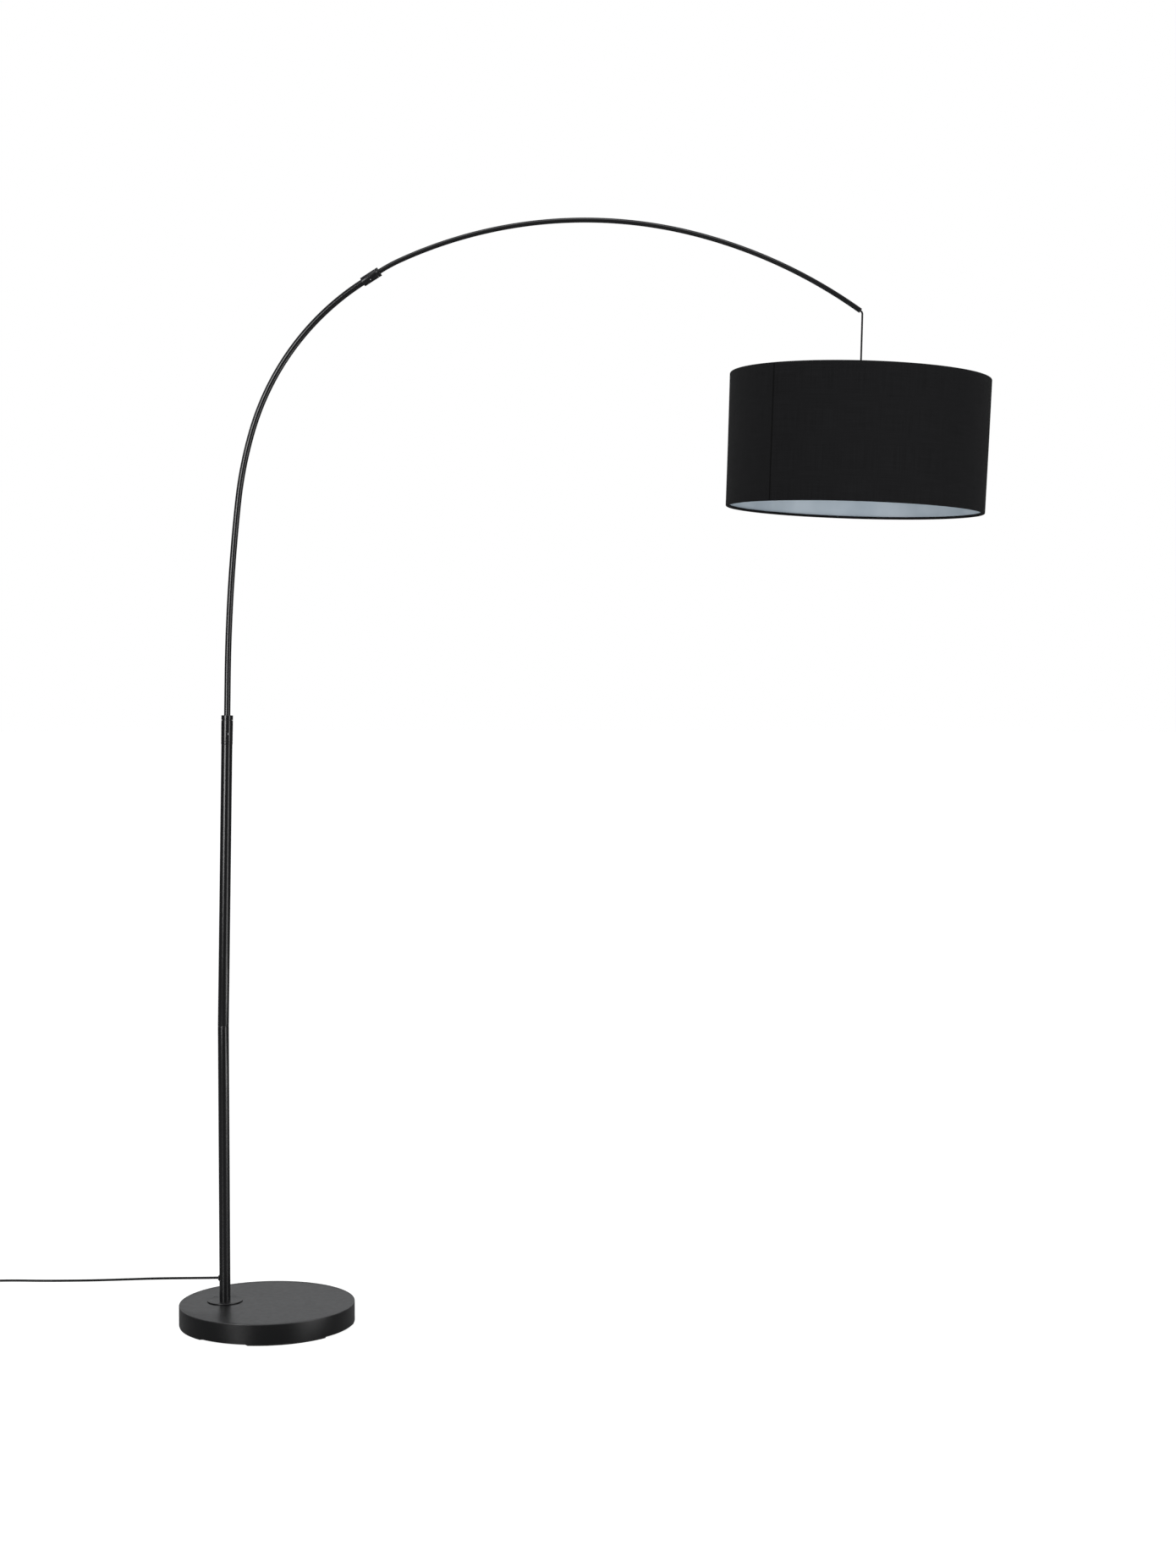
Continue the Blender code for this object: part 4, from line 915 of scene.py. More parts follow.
# %% Plug body
PLUG_LENGTH, PLUG_WIDTH, PLUG_HEIGHT = 0.034, 0.030, 0.0135
PLUG_RELIEF_LENGTH = 0.022
PLUG_GAP = 0.0003
plug_base = (Matrix.Translation(plug_end + plug_ahead * 2 * PLUG_GAP)
             @ Matrix.Rotation(PLUG_HEADING, 4, "Z"))
plug_base.translation.z = PLUG_HEIGHT / 2 + PLUG_GAP
facing_pins = plug_base @ Matrix.Rotation(math.pi / 2, 4, "Y")


def plug_layers():
    """Layers along the plug, from the cord's end to the pins: slim, waisted, then full."""
    low, high = PLUG_RELIEF_LENGTH, PLUG_RELIEF_LENGTH + PLUG_GAP + PLUG_LENGTH
    shares = ((0.0, 0.0046), (0.015, 0.0034), (0.05, 0.0026), (0.12, 0.0020), (0.22, 0.0016),
              (0.30, 0.0018), (0.33, 0.0024), (0.36, 0.0018), (0.42, 0.0017), (0.45, 0.0023),
              (0.48, 0.0016), (0.54, 0.0014), (0.57, 0.0020), (0.60, 0.0011), (0.72, 0.0004),
              (0.84, 0.0), (0.95, 0.0), (0.975, 0.0004), (0.992, 0.0010), (1.0, 0.0018))
    return [(low + (high - low) * share, inset) for share, inset in shares]


plug_body = moulded("plug_body_moulding", PLUG_HEIGHT / 2, PLUG_WIDTH / 2, plug_layers(), 3.6,
                    facing_pins)
stands_for(plug_body, "base", "black_plastic", "plug_body")
facing_cord = Matrix.Rotation(-math.pi / 2, 4, "Y")
relief_place = plug_base @ upright_at(PLUG_RELIEF_LENGTH + 0.001, 0) @ facing_cord
plug_relief = strain_relief("plug_relief_sleeve", PLUG_RELIEF_LENGTH + 0.001, 0.0058, relief_place)
stands_for(plug_relief, "base", "black_rubber", "plug_relief")

# %% Plug pins and their sleeves
PIN_RADIUS, PIN_LENGTH, PIN_SPREAD, PIN_SLEEVE = 0.002, 0.019, 0.019, 0.010
for side, label in ((1, "left"), (-1, "right")):
    foot = PLUG_RELIEF_LENGTH + PLUG_LENGTH
    pin_place = (plug_base @ upright_at(foot, side * PIN_SPREAD / 2)
                 @ Matrix.Rotation(math.pi / 2, 4, "Y"))
    reach = PLUG_GAP * 2 + PIN_LENGTH
    pin = turned(f"plug_pin_{label}_metal",
                 [(0.0, reach), (PIN_RADIUS, reach, 0.0014), (PIN_RADIUS, 0.0), (0.0, 0.0)],
                 pin_place, 32)
    stands_for(pin, "base", "zinc_steel", f"plug_pin_{label}")
    sleeve = turned(f"plug_pin_{label}_sleeve", [
        (PIN_RADIUS, PIN_SLEEVE), (PIN_RADIUS + 0.0002, PIN_SLEEVE, 0.0001),
        (PIN_RADIUS + 0.0002, 0.0), (PIN_RADIUS, 0.0),
    ], pin_place, 32)
    stands_for(sleeve, "base", "black_plastic")

# %% [markdown]
# ## The base
# The cover is a spun steel dish over an iron weight: a flat top, a tight rolled edge and a
# straight side. It is thin sheet, so the section goes round the inside as well, and the lower
# edge is turned in a little to hide the raw metal.

# %% Base cover
cover_low, cover_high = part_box("base_cover")
BASE_RADIUS = cover_high.x
COVER_WALL = 0.0012
TOP_EDGE_RADIUS = 0.0015

base_cover = turned("base_cover_dish", [
    (0.0, cover_high.z), (BASE_RADIUS * 0.5, cover_high.z), (BASE_RADIUS * 0.9, cover_high.z),
    (BASE_RADIUS, cover_high.z, TOP_EDGE_RADIUS), (BASE_RADIUS, cover_low.z, 0.0007),
    (BASE_RADIUS - COVER_WALL * 1.8, cover_low.z, 0.0004),
    (BASE_RADIUS - COVER_WALL * 1.8, cover_low.z + 0.0012, 0.0003),
    (BASE_RADIUS - COVER_WALL, cover_low.z + 0.0014),
    (BASE_RADIUS - COVER_WALL, cover_high.z - COVER_WALL, 0.0012),
    (0.0, cover_high.z - COVER_WALL),
], steps=192)
stands_for(base_cover, "base", "black_powder_coat", "base_cover")
print("base is", round(2000 * BASE_RADIUS), "mm across and", round(1000 * cover_high.z), "mm high")

# %% [markdown]
# Four arcs of rubber and a round one in the middle keep the base off the floor. They are cut from
# sheet, so each is a flat outline given a thickness, with its edges just softened.

# %% Rubber pads
PAD_SPAN, PAD_WIDTH, PAD_THICKNESS, FIRST_PAD = 57.0, 0.022, 0.002, -62.6
PAD_MIDDLE = BASE_RADIUS - COVER_WALL - PAD_WIDTH / 2
PAD_CORNER, PAD_STEPS = 0.006, 32
CENTRE_PAD_RADIUS = 0.020


def arc_pad(name, middle_angle):
    """A pad along an arc, with round corners, extruded and softened."""
    outline = []
    for radius, side in ((PAD_MIDDLE + PAD_WIDTH / 2, 1), (PAD_MIDDLE - PAD_WIDTH / 2, -1)):
        slack = math.degrees(PAD_CORNER / radius)
        for step in range(PAD_STEPS + 1):
            share = step / PAD_STEPS * 2 - 1
            angle = math.radians(middle_angle + side * share * (PAD_SPAN / 2))
            near_end = max(0.0, (abs(share) * PAD_SPAN / 2 - (PAD_SPAN / 2 - slack)) / slack)
            tuck = PAD_CORNER * (1 - math.sqrt(max(0.0, 1 - near_end**2)))
            outline.append(((radius - side * tuck) * math.cos(angle),
                            (radius - side * tuck) * math.sin(angle)))
    levels = ((0.0, 0.9985), (0.0004, 1.0), (PAD_THICKNESS - 0.0002, 1.0), (PAD_THICKNESS, 0.9993))
    middle_turn = math.radians(middle_angle)
    cx, cy = PAD_MIDDLE * math.cos(middle_turn), PAD_MIDDLE * math.sin(middle_turn)
    rings = [[(cx + (x - cx) * size, cy + (y - cy) * size, z) for x, y in outline]
             for z, size in levels]
    return lofted(name, rings, lambda level, k: (k * 0.004, level * 0.001))


for number in range(4):
    pad = arc_pad(f"rubber_pad_{number + 1}", FIRST_PAD + 90.0 * number)
    stands_for(pad, "base", "black_rubber", f"foot_pad_{number + 1}")
centre_pad = turned("rubber_centre_pad", [
    (0.0, PAD_THICKNESS), (CENTRE_PAD_RADIUS, PAD_THICKNESS, 0.0003),
    (CENTRE_PAD_RADIUS, 0.0, 0.0005), (0.0, 0.0),
], steps=64)
stands_for(centre_pad, "base", "black_rubber", "centre_pad")

# %% [markdown]
# ## Bolts and set screws
# The pole is pulled down on the base by a hexagon bolt from below, and the collars lock with
# socket set screws. A hexagon is a circle whose radius swells towards six corners, so the lathe's
# shape function can make it.

# %% Hexagon helper and the base bolt
def hexagon(across_flats):
    """A lathe shape that puts the points at this size on a hexagon; the others stay round."""
    corner = math.pi / 6

    def shape(angle, radius, height):
        if abs(radius - across_flats / 2) < 1e-9:
            radius = across_flats / 2 / math.cos((angle + corner) % (2 * corner) - corner)
        return radius, height
    return shape


BOLT_ACROSS = 0.015
BOLT_RADIUS = 0.005
bolt_low, bolt_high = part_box("base_bolt")
BOLT_HEAD_HEIGHT = 0.005
BOLT_PITCH, BOLT_RIDGES = 0.0015, 18
bolt_head_top = bolt_low.z + BOLT_HEAD_HEIGHT
thread = []
for ridge in range(BOLT_RIDGES):
    foot = bolt_high.z - 0.0012 - ridge * BOLT_PITCH
    thread += [(BOLT_RADIUS, foot), (BOLT_RADIUS - 0.0006, foot - BOLT_PITCH / 2)]
base_bolt = turned("base_hex_bolt", [
    (0.0, bolt_high.z), (BOLT_RADIUS - 0.001, bolt_high.z), *thread,
    (BOLT_RADIUS, thread[-1][1] - BOLT_PITCH / 2),
    (BOLT_RADIUS, bolt_head_top), (BOLT_ACROSS / 2, bolt_head_top),
    (BOLT_ACROSS / 2, bolt_low.z + 0.0008),
    (BOLT_ACROSS / 2 - 0.0008, bolt_low.z), (0.0, bolt_low.z),
], pole_foot, 48, hexagon(BOLT_ACROSS))
stands_for(base_bolt, "base", "zinc_steel", "base_bolt")

# %% [markdown]
# ## The pole
# A round flange covers the bolt hole, and the pole stands on it. The pole is two tubes joined by
# a coupling inside, and the joint is only a hairline. The upper tube leans very slightly under
# the weight of the arm.

# %% Foot flange and the two tubes
POLE_RADIUS, POLE_WALL = 0.011, 0.0012
POLE_BORE = POLE_RADIUS - POLE_WALL
LIP = 0.0004
flange_low, flange_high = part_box("foot_flange")
FLANGE_RADIUS = (flange_high.x - flange_low.x) / 2
FLANGE_BORE, FLANGE_REST = 0.006, 0.0002
flange = turned("foot_flange_disc", [
    (FLANGE_BORE, flange_high.z), (POLE_RADIUS + 0.004, flange_high.z),
    (FLANGE_RADIUS, flange_high.z, 0.0008),
    (FLANGE_RADIUS, flange_low.z - FLANGE_REST, 0.0003), (FLANGE_BORE, flange_low.z - FLANGE_REST),
], pole_foot, 128)
stands_for(flange, "base", "black_powder_coat", "foot_flange")

GROMMET_NECK = 0.0045
grommet_place = pole_foot @ upright_at(0, 0, CORD_EXIT[2]) @ Matrix.Rotation(-math.pi / 2, 4, "Y")
_, lower_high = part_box("lower_pole_tube")
lower_pole = turned("lower_pole_steel", [
    (POLE_RADIUS, lower_high.z, LIP), (POLE_RADIUS, 0.45), (POLE_RADIUS, 0.30), (POLE_RADIUS, 0.15),
    (POLE_RADIUS, flange_high.z), (POLE_BORE, flange_high.z), (POLE_BORE, lower_high.z),
], pole_foot, 96)
hole_radius, hole_reach = GROMMET_NECK + 0.0003, 0.02
hole = turned("grommet_hole",
              [(0.0, hole_reach), (hole_radius, hole_reach), (hole_radius, 0.0), (0.0, 0.0)],
              grommet_place, 32)
shaped_by(lower_pole, hole)
stands_for(lower_pole, "base", "black_satin_tube", "lower_pole_tube")

UPPER_POLE_LENGTH, POLE_JOINT_GAP = 0.564, 0.0005
upper_pole = turned("upper_pole_steel", [
    (POLE_RADIUS, UPPER_POLE_LENGTH, LIP), (POLE_RADIUS, 0.42), (POLE_RADIUS, 0.28),
    (POLE_RADIUS, 0.14),
    (POLE_RADIUS, POLE_JOINT_GAP / 2, LIP), (POLE_BORE, POLE_JOINT_GAP / 2),
    (POLE_BORE, UPPER_POLE_LENGTH),
], leaning, 96)
stands_for(upper_pole, "base", "black_satin_tube", "upper_pole_tube")
print("pole is", round(1000 * (lower_high.z - flange_high.z)), "+", round(1000 * UPPER_POLE_LENGTH),
      "mm of tube")

# %% [markdown]
# The grommet is a soft rubber eyelet pushed into the hole, with a rounded lip outside and a thin
# one inside that stops it pulling out.

# %% Cord grommet
GROMMET_RADIUS, GROMMET_LIP = 0.00625, 0.0022
grommet_face = POLE_RADIUS
feed = MAINS_DIAMETER / 2 + 0.0001
grommet = turned("cord_grommet_rubber", [
    (GROMMET_RADIUS - 0.0016, grommet_face + GROMMET_LIP, 0.0009),
    (GROMMET_RADIUS, grommet_face + 0.0004, 0.0008),
    (GROMMET_RADIUS, grommet_face - 0.0010, 0.0002), (GROMMET_NECK, grommet_face - 0.0010),
    (GROMMET_NECK, POLE_BORE - 0.0004), (GROMMET_NECK + 0.0008, POLE_BORE - 0.0008, 0.0002),
    (GROMMET_NECK, POLE_BORE - 0.0018, 0.0002), (feed, POLE_BORE - 0.0018),
    (feed, grommet_face + GROMMET_LIP, 0.0004),
], grommet_place, 48)
stands_for(grommet, "base", "black_rubber", "cord_grommet")

# %% [markdown]
# ## The clamp collar
# The collar plugs into the pole and guides the arm. Its cap screws on with a fine gap, and a set
# screw in its side locks the arm at its height. A shallow ring is turned near its foot.

# %% Collar body and cap
COLLAR_RADIUS, COLLAR_LENGTH, COLLAR_CAP_HEIGHT, COLLAR_GROOVE = 0.0115, 0.057, 0.0092, 0.0006
CAP_SPIGOT_RADIUS, CAP_SPIGOT_LENGTH, COLLAR_SPIGOT_LENGTH = 0.0092, 0.004, 0.030
FERRULE_LENGTH = 0.008
ARC_RADIUS, ARC_WALL = 0.00625, 0.001
GAP, SLIDING = 0.0003, 0.00035
arc_bore = ARC_RADIUS + SLIDING
collar_foot = UPPER_POLE_LENGTH + GAP
collar_top = collar_foot + COLLAR_LENGTH
head_top = collar_top - COLLAR_CAP_HEIGHT - COLLAR_GROOVE
seat = head_top - CAP_SPIGOT_LENGTH - 3 * GAP - FERRULE_LENGTH
spigot = POLE_BORE - GAP
RING_GROOVE = 0.0045
collar_body = turned("clamp_collar_body", [
    (COLLAR_RADIUS, head_top, 0.0005), (COLLAR_RADIUS, collar_foot + RING_GROOVE + 0.0006, 0.0002),
    (COLLAR_RADIUS - 0.00035, collar_foot + RING_GROOVE + 0.0003, 0.0001),
    (COLLAR_RADIUS - 0.00035, collar_foot + RING_GROOVE - 0.0003, 0.0001),
    (COLLAR_RADIUS, collar_foot + RING_GROOVE - 0.0006, 0.0002),
    (COLLAR_RADIUS, collar_foot - GAP, 0.0004), (spigot, collar_foot - GAP),
    (spigot, collar_foot - COLLAR_SPIGOT_LENGTH, 0.0006),
    (arc_bore, collar_foot - COLLAR_SPIGOT_LENGTH),
    (arc_bore, seat), (CAP_SPIGOT_RADIUS + GAP, seat), (CAP_SPIGOT_RADIUS + GAP, head_top, 0.0003),
], leaning, 96)
collar_cap = turned("clamp_collar_cap", [
    (COLLAR_RADIUS, collar_top, 0.0008), (COLLAR_RADIUS, head_top + COLLAR_GROOVE, 0.0004),
    (CAP_SPIGOT_RADIUS, head_top + COLLAR_GROOVE),
    (CAP_SPIGOT_RADIUS, head_top - CAP_SPIGOT_LENGTH, 0.0004),
    (arc_bore, head_top - CAP_SPIGOT_LENGTH), (arc_bore, collar_top, 0.0005),
], leaning, 96)
stands_for(collar_cap, "base", "black_satin_tube", "collar_cap")

# %% Set screws
def set_screw(name, radius, length, place):
    """A grub screw: threads outside and a hexagon socket in its outer end, at the top."""
    across = radius * 1.05
    pitch = radius * 0.3
    ridges = []
    for ridge in range(int(length / pitch) - 1):
        top = length - radius * 0.25 - ridge * pitch
        ridges += [(radius, top), (radius - pitch * 0.4, top - pitch / 2)]
    return turned(name, [
        (0.0, length * 0.55), (across / 2, length * 0.55), (across / 2, length, 0.0001),
        (radius - radius * 0.2, length), *ridges, (radius * 0.7, 0.0), (0.0, 0.0),
    ], place, 48, hexagon(across))


def screw_place(holder, angle, inner, height):
    turn = math.radians(angle)
    return (holder @ Matrix.Translation((inner * math.cos(turn), inner * math.sin(turn), height))
            @ Matrix.Rotation(turn, 4, "Z") @ Matrix.Rotation(math.pi / 2, 4, "Y"))


def screw_hole(piece, holder, radius, angle, inner, depth, height):
    """A hole for the screw, with a small chamfer at its mouth."""
    place = screw_place(holder, angle, inner - 0.001, height)
    shaped_by(piece, turned("screw_hole", [
        (0.0, depth + 0.003), (radius + 0.0004, depth + 0.003), (radius + 0.0004, depth + 0.001),
        (radius, depth + 0.0006), (radius, 0.0), (0.0, 0.0)], place, 40))


GRUB_RADIUS, GRUB_DEPTH, GRUB_ANGLE, GRUB_HEIGHT = 0.0017, 0.0006, -60.0, 0.0202
grub_length = COLLAR_RADIUS - GRUB_DEPTH - arc_bore
screw_hole(collar_body, leaning, GRUB_RADIUS + 0.00012, GRUB_ANGLE, arc_bore,
           COLLAR_RADIUS - arc_bore, collar_foot + GRUB_HEIGHT)
stands_for(collar_body, "base", "black_satin_tube", "collar_body")
collar_screw = set_screw("collar_set_screw", GRUB_RADIUS, grub_length,
                         screw_place(leaning, GRUB_ANGLE, arc_bore, collar_foot + GRUB_HEIGHT))
stands_for(collar_screw, "base", "zinc_steel", "collar_grub_screw")

# %% [markdown]
# ## The arm
# Each half of the arm is one steel tube drawn round a former, so its curve is a row of arcs that
# run smoothly into each other: straight out of the collar, then tighter, then easing off towards
# the shade. Walking along those arcs gives the line, and the sweep gives it the tube's section.

# %% Walking along arcs
def walk(start, heading, runs, step=0.009):
    """Points along (length, radius) runs in the XZ plane, bending down; None is straight."""
    x, z = start
    spots = [Vector((x, 0.0, z))]
    for length, radius in runs:
        count = max(2, math.ceil(length / (0.04 if radius is None else step)))
        turn = 0.0 if radius is None else length / count / radius
        chord = length / count if radius is None else 2 * radius * math.sin(turn / 2)
        for _ in range(count):
            x += chord * math.cos(heading - turn / 2)
            z += chord * math.sin(heading - turn / 2)
            heading -= turn
            spots.append(Vector((x, 0.0, z)))
    return spots, heading


BELOW_COLLAR, ABOVE_COLLAR, TIP_STRAIGHT = 0.060, 0.075, 0.012
LOWER_BENDS = ((0.3489, 3.6163), (0.1422, 0.7916), (0.3727, 0.5123))
UPPER_BENDS = ((0.0452, 0.3157), (0.5880, 0.8828), (0.3458, 0.9763))
ARC_COLLAR_RADIUS, ARC_COLLAR_LENGTH, ARC_CAP_LENGTH, ARC_CLEARANCE = 0.0093, 0.0395, 0.0063, 0.0006
TIP_RADIUS, TIP_WALL = 0.00485, 0.001

foot_straight = (BELOW_COLLAR + COLLAR_LENGTH + ABOVE_COLLAR, None)
lower_line, joint_heading = walk((0.0, collar_foot - BELOW_COLLAR), math.pi / 2,
                                 [foot_straight, *LOWER_BENDS])
arc_joint = lower_line[-1]
joint_ahead = Vector((math.cos(joint_heading), 0.0, math.sin(joint_heading)))
collar_middle = arc_joint + joint_ahead * (ARC_COLLAR_LENGTH / 2)
lower_arc = swept("lower_arc_steel", [*lower_line, collar_middle], ARC_RADIUS, 32,
                  ARC_RADIUS - ARC_WALL, leaning)
stands_for(lower_arc, "arm", "black_satin_tube", "lower_arc_tube")

upper_line, tip_heading = walk((arc_joint.x, arc_joint.z), joint_heading,
                               [(ARC_COLLAR_LENGTH, None), *UPPER_BENDS, (TIP_STRAIGHT, None)])
upper_arc = swept("upper_arc_steel", upper_line, TIP_RADIUS, 32, TIP_RADIUS - TIP_WALL, leaning)
stands_for(upper_arc, "arm", "black_satin_tube", "upper_arc_tube")
print("arm tubes:", round(length_of(lower_line), 3), "and", round(length_of(upper_line), 3), "m")

# %% [markdown]
# The two halves meet in a straight sleeve with a screwed cap at its upper end and a set screw
# underneath. The sleeve steps down inside, because the upper tube is thinner.

# %% Arc collar
arc_collar = leaning @ along(joint_ahead, collar_middle)
half = ARC_COLLAR_LENGTH / 2
wide, narrow = ARC_RADIUS + ARC_CLEARANCE, TIP_RADIUS + ARC_CLEARANCE
arc_head = half - ARC_CAP_LENGTH - COLLAR_GROOVE
arc_sleeve = turned("arc_collar_sleeve", [
    (ARC_COLLAR_RADIUS, arc_head, 0.0004), (ARC_COLLAR_RADIUS, -half, 0.0006),
    (wide, -half, 0.0004), (wide, 0.0), (narrow, 0.0), (narrow, arc_head, 0.0003),
], arc_collar, 96)
arc_cap = turned("arc_collar_cap_ring", [
    (ARC_COLLAR_RADIUS, half, 0.0007), (ARC_COLLAR_RADIUS, arc_head + COLLAR_GROOVE, 0.0004),
    (narrow, arc_head + COLLAR_GROOVE), (narrow, half, 0.0004),
], arc_collar, 96)
stands_for(arc_cap, "arm", "black_satin_tube", "arc_collar_cap")
ARC_GRUB_RADIUS, ARC_GRUB_ANGLE, ARC_GRUB_BELOW = 0.0015, -52.0, 0.003
screw_hole(arc_sleeve, arc_collar, ARC_GRUB_RADIUS + 0.00012, ARC_GRUB_ANGLE, wide,
           ARC_COLLAR_RADIUS - wide, -ARC_GRUB_BELOW)
stands_for(arc_sleeve, "arm", "black_satin_tube", "arc_collar_body")
arc_screw = set_screw("arc_set_screw", ARC_GRUB_RADIUS, ARC_COLLAR_RADIUS - GRUB_DEPTH - wide,
                      screw_place(arc_collar, ARC_GRUB_ANGLE, wide, -ARC_GRUB_BELOW))
stands_for(arc_screw, "arm", "zinc_steel", "arc_grub_screw")

# %% [markdown]
# A rubber bush in the end of the arm keeps the cut edge of the tube off the lamp cord.

# %% Tip bush
CABLE_RADIUS = 0.0018
TIP_BUSH_LENGTH, TIP_BUSH_FLANGE = 0.010, 0.0012
tip_ahead = Vector((math.cos(tip_heading), 0.0, math.sin(tip_heading)))
arm_tip = leaning @ along(tip_ahead, upper_line[-1])
bush_feed = CABLE_RADIUS + 0.0002
tip_bush = turned("tip_bush_rubber", [
    (TIP_RADIUS, GAP + TIP_BUSH_FLANGE, 0.0008), (TIP_RADIUS, 0.0, 0.0002),
    (TIP_RADIUS - TIP_WALL - 0.0001, 0.0),
    (TIP_RADIUS - TIP_WALL - 0.0001, -TIP_BUSH_LENGTH, 0.0003), (bush_feed, -TIP_BUSH_LENGTH),
    (bush_feed, GAP + TIP_BUSH_FLANGE, 0.0006),
], arm_tip, 48)
stands_for(tip_bush, "arm", "black_rubber", "tip_bush")

# %% [markdown]
# ## The pendant cord
# The lamp cord bends straight down as soon as it leaves the bush, because the shade is far
# heavier than the cord is stiff. It ends in the cord grip. Here it is one swept piece, from the
# bush through the bend and into the cap, and it rides on no body.

# %% Pendant cord
PENDANT_BEND_RADIUS = 0.008
GRIP_LENGTH, CAP_HEIGHT = 0.012, 0.022
mouth_ahead = (leaning.to_3x3() @ tip_ahead).normalized()
mouth_heading = math.atan2(mouth_ahead.z, mouth_ahead.x)
bend_angle = math.pi / 2 + mouth_heading
bend, _ = walk((mouth.x, mouth.z), mouth_heading,
               [(PENDANT_BEND_RADIUS * bend_angle, PENDANT_BEND_RADIUS)], 0.0008)
down_cap = hung.to_3x3() @ Vector((0, 0, -1))
below_grip = grip_top + down_cap * (GRIP_LENGTH + CAP_HEIGHT * 0.5)
straight = [bend[-1].lerp(grip_top, step / 40) for step in range(1, 41)]
into_cap = [grip_top.lerp(below_grip, step / 8) for step in range(1, 9)]
pendant_line = [*bend, *straight, *into_cap]
pendant_cord = swept("pendant_cord_sheath", pendant_line, CABLE_RADIUS)
stands_for(pendant_cord, None, "black_cable", "pendant_cord_top", "pendant_cord")
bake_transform(pendant_cord)
print("pendant cord:", round(length_of(pendant_line), 3), "m")

# %% [markdown]
# ## The lampholder and bulb
# A nylon grip screws into the domed cap and pinches the cord, so that the shade's weight doesn't
# pull on the wires. The holder passes through the shade's hub and a knurled ring screws up from
# below to clamp it. The bulb screws in underneath.

# %% Levels under the cord, from the top down
HOLDER_RADIUS, HOLDER_WALL, HOLDER_SKIRT, HOLDER_NECK = 0.0197, 0.0018, 0.022, 0.014
HOLDER_FLANGE_RADIUS, HOLDER_FLANGE_THICKNESS, CAP_TOP_RADIUS = 0.0235, 0.003, 0.0065
cap_top = -GRIP_LENGTH - GAP
cap_bottom = cap_top - CAP_HEIGHT
body_top = cap_bottom - GAP
hub_top = body_top - HOLDER_NECK
HUB_RADIUS, HUB_THICKNESS = 0.030, 0.002
hub_bottom = hub_top - HUB_THICKNESS
skirt_bottom = hub_top - HOLDER_SKIRT


def knurl(count, depth, from_radius):
    """A lathe shape with straight ridges on every point at least this far out."""
    def shape(angle, radius, height):
        if radius > from_radius:
            radius -= depth * (0.5 - 0.5 * math.cos(count * angle))
        return radius, height
    return shape


# %% Cord grip and cap
GRIP_RADIUS, GRIP_THREAD_RADIUS, GRIP_THREAD = 0.0052, 0.0045, 0.002
grip_bore = CABLE_RADIUS + 0.0002
grip = turned("cord_grip_nylon", [
    (GRIP_RADIUS, -0.0008, 0.0008), (GRIP_RADIUS, -0.008, 0.0004), (GRIP_THREAD_RADIUS, -0.0088),
    (GRIP_THREAD_RADIUS, cap_top - GRIP_THREAD), (grip_bore, cap_top - GRIP_THREAD),
    (grip_bore, 0.0, 0.0006), (0.0036, 0.0, 0.0005),
], hung, 96, knurl(12, 0.0004, GRIP_RADIUS - 0.0002))
stands_for(grip, "shade", "black_plastic", "cord_grip")
dome_foot = cap_bottom + CAP_HEIGHT * 0.35
dome = []
for step in range(9):
    turn = math.pi / 2 * (1 - step / 8)
    dome.append((CAP_TOP_RADIUS + (HOLDER_RADIUS - CAP_TOP_RADIUS) * math.cos(turn),
                 dome_foot + (cap_top - dome_foot) * math.sin(turn)))
inside = [(max(CABLE_RADIUS + 0.001, radius - HOLDER_WALL), height - HOLDER_WALL)
          for radius, height in reversed(dome)]
holder_cap = turned("lampholder_cap_moulding", [
    *dome, (HOLDER_RADIUS, cap_bottom + 0.0058, 0.0003),
    (HOLDER_RADIUS - 0.0004, cap_bottom + 0.0054), (HOLDER_RADIUS - 0.0004, cap_bottom + 0.0006),
    (HOLDER_RADIUS, cap_bottom, 0.0003), (HOLDER_RADIUS - HOLDER_WALL, cap_bottom), *inside,
    (GRIP_THREAD_RADIUS + 0.0002, cap_top - HOLDER_WALL),
    (GRIP_THREAD_RADIUS + 0.0002, cap_top, 0.0004),
], hung, 120, knurl(40, 0.0005, HOLDER_RADIUS - 0.00045))
stands_for(holder_cap, "shade", "black_plastic", "lampholder_cap")

# %% Lampholder body, its thread and the clamp ring
holder_bore = HOLDER_RADIUS - HOLDER_WALL
flange_top = hub_top + HOLDER_FLANGE_THICKNESS
skirt_thread = []
THREAD_PITCH, THREAD_RIDGES = 0.0024, 8
thread_root = HOLDER_RADIUS - 0.0009
for ridge in range(THREAD_RIDGES):
    crest = hub_bottom - 0.0004 - ridge * THREAD_PITCH
    skirt_thread += [(thread_root, crest), (HOLDER_RADIUS, crest - 0.0008, 0.0002),
                     (HOLDER_RADIUS, crest - 0.0014, 0.0002), (thread_root, crest - 0.0022)]
holder_body = turned("lampholder_body_moulding", [
    (HOLDER_RADIUS, body_top, 0.0004), (HOLDER_RADIUS, flange_top, 0.0006),
    (HOLDER_FLANGE_RADIUS, flange_top, 0.0008), (HOLDER_FLANGE_RADIUS, hub_top, 0.0003),
    (thread_root, hub_top), *skirt_thread, (thread_root, skirt_bottom, 0.0003),
    (holder_bore, skirt_bottom, 0.0004), (holder_bore, body_top),
], hung, 96)
stands_for(holder_body, "shade", "black_plastic", "lampholder_body")
CLAMP_RING_RADIUS, CLAMP_RING_HEIGHT = 0.0272, 0.006
ring_low, ring_high = hub_bottom - GAP - CLAMP_RING_HEIGHT, hub_bottom
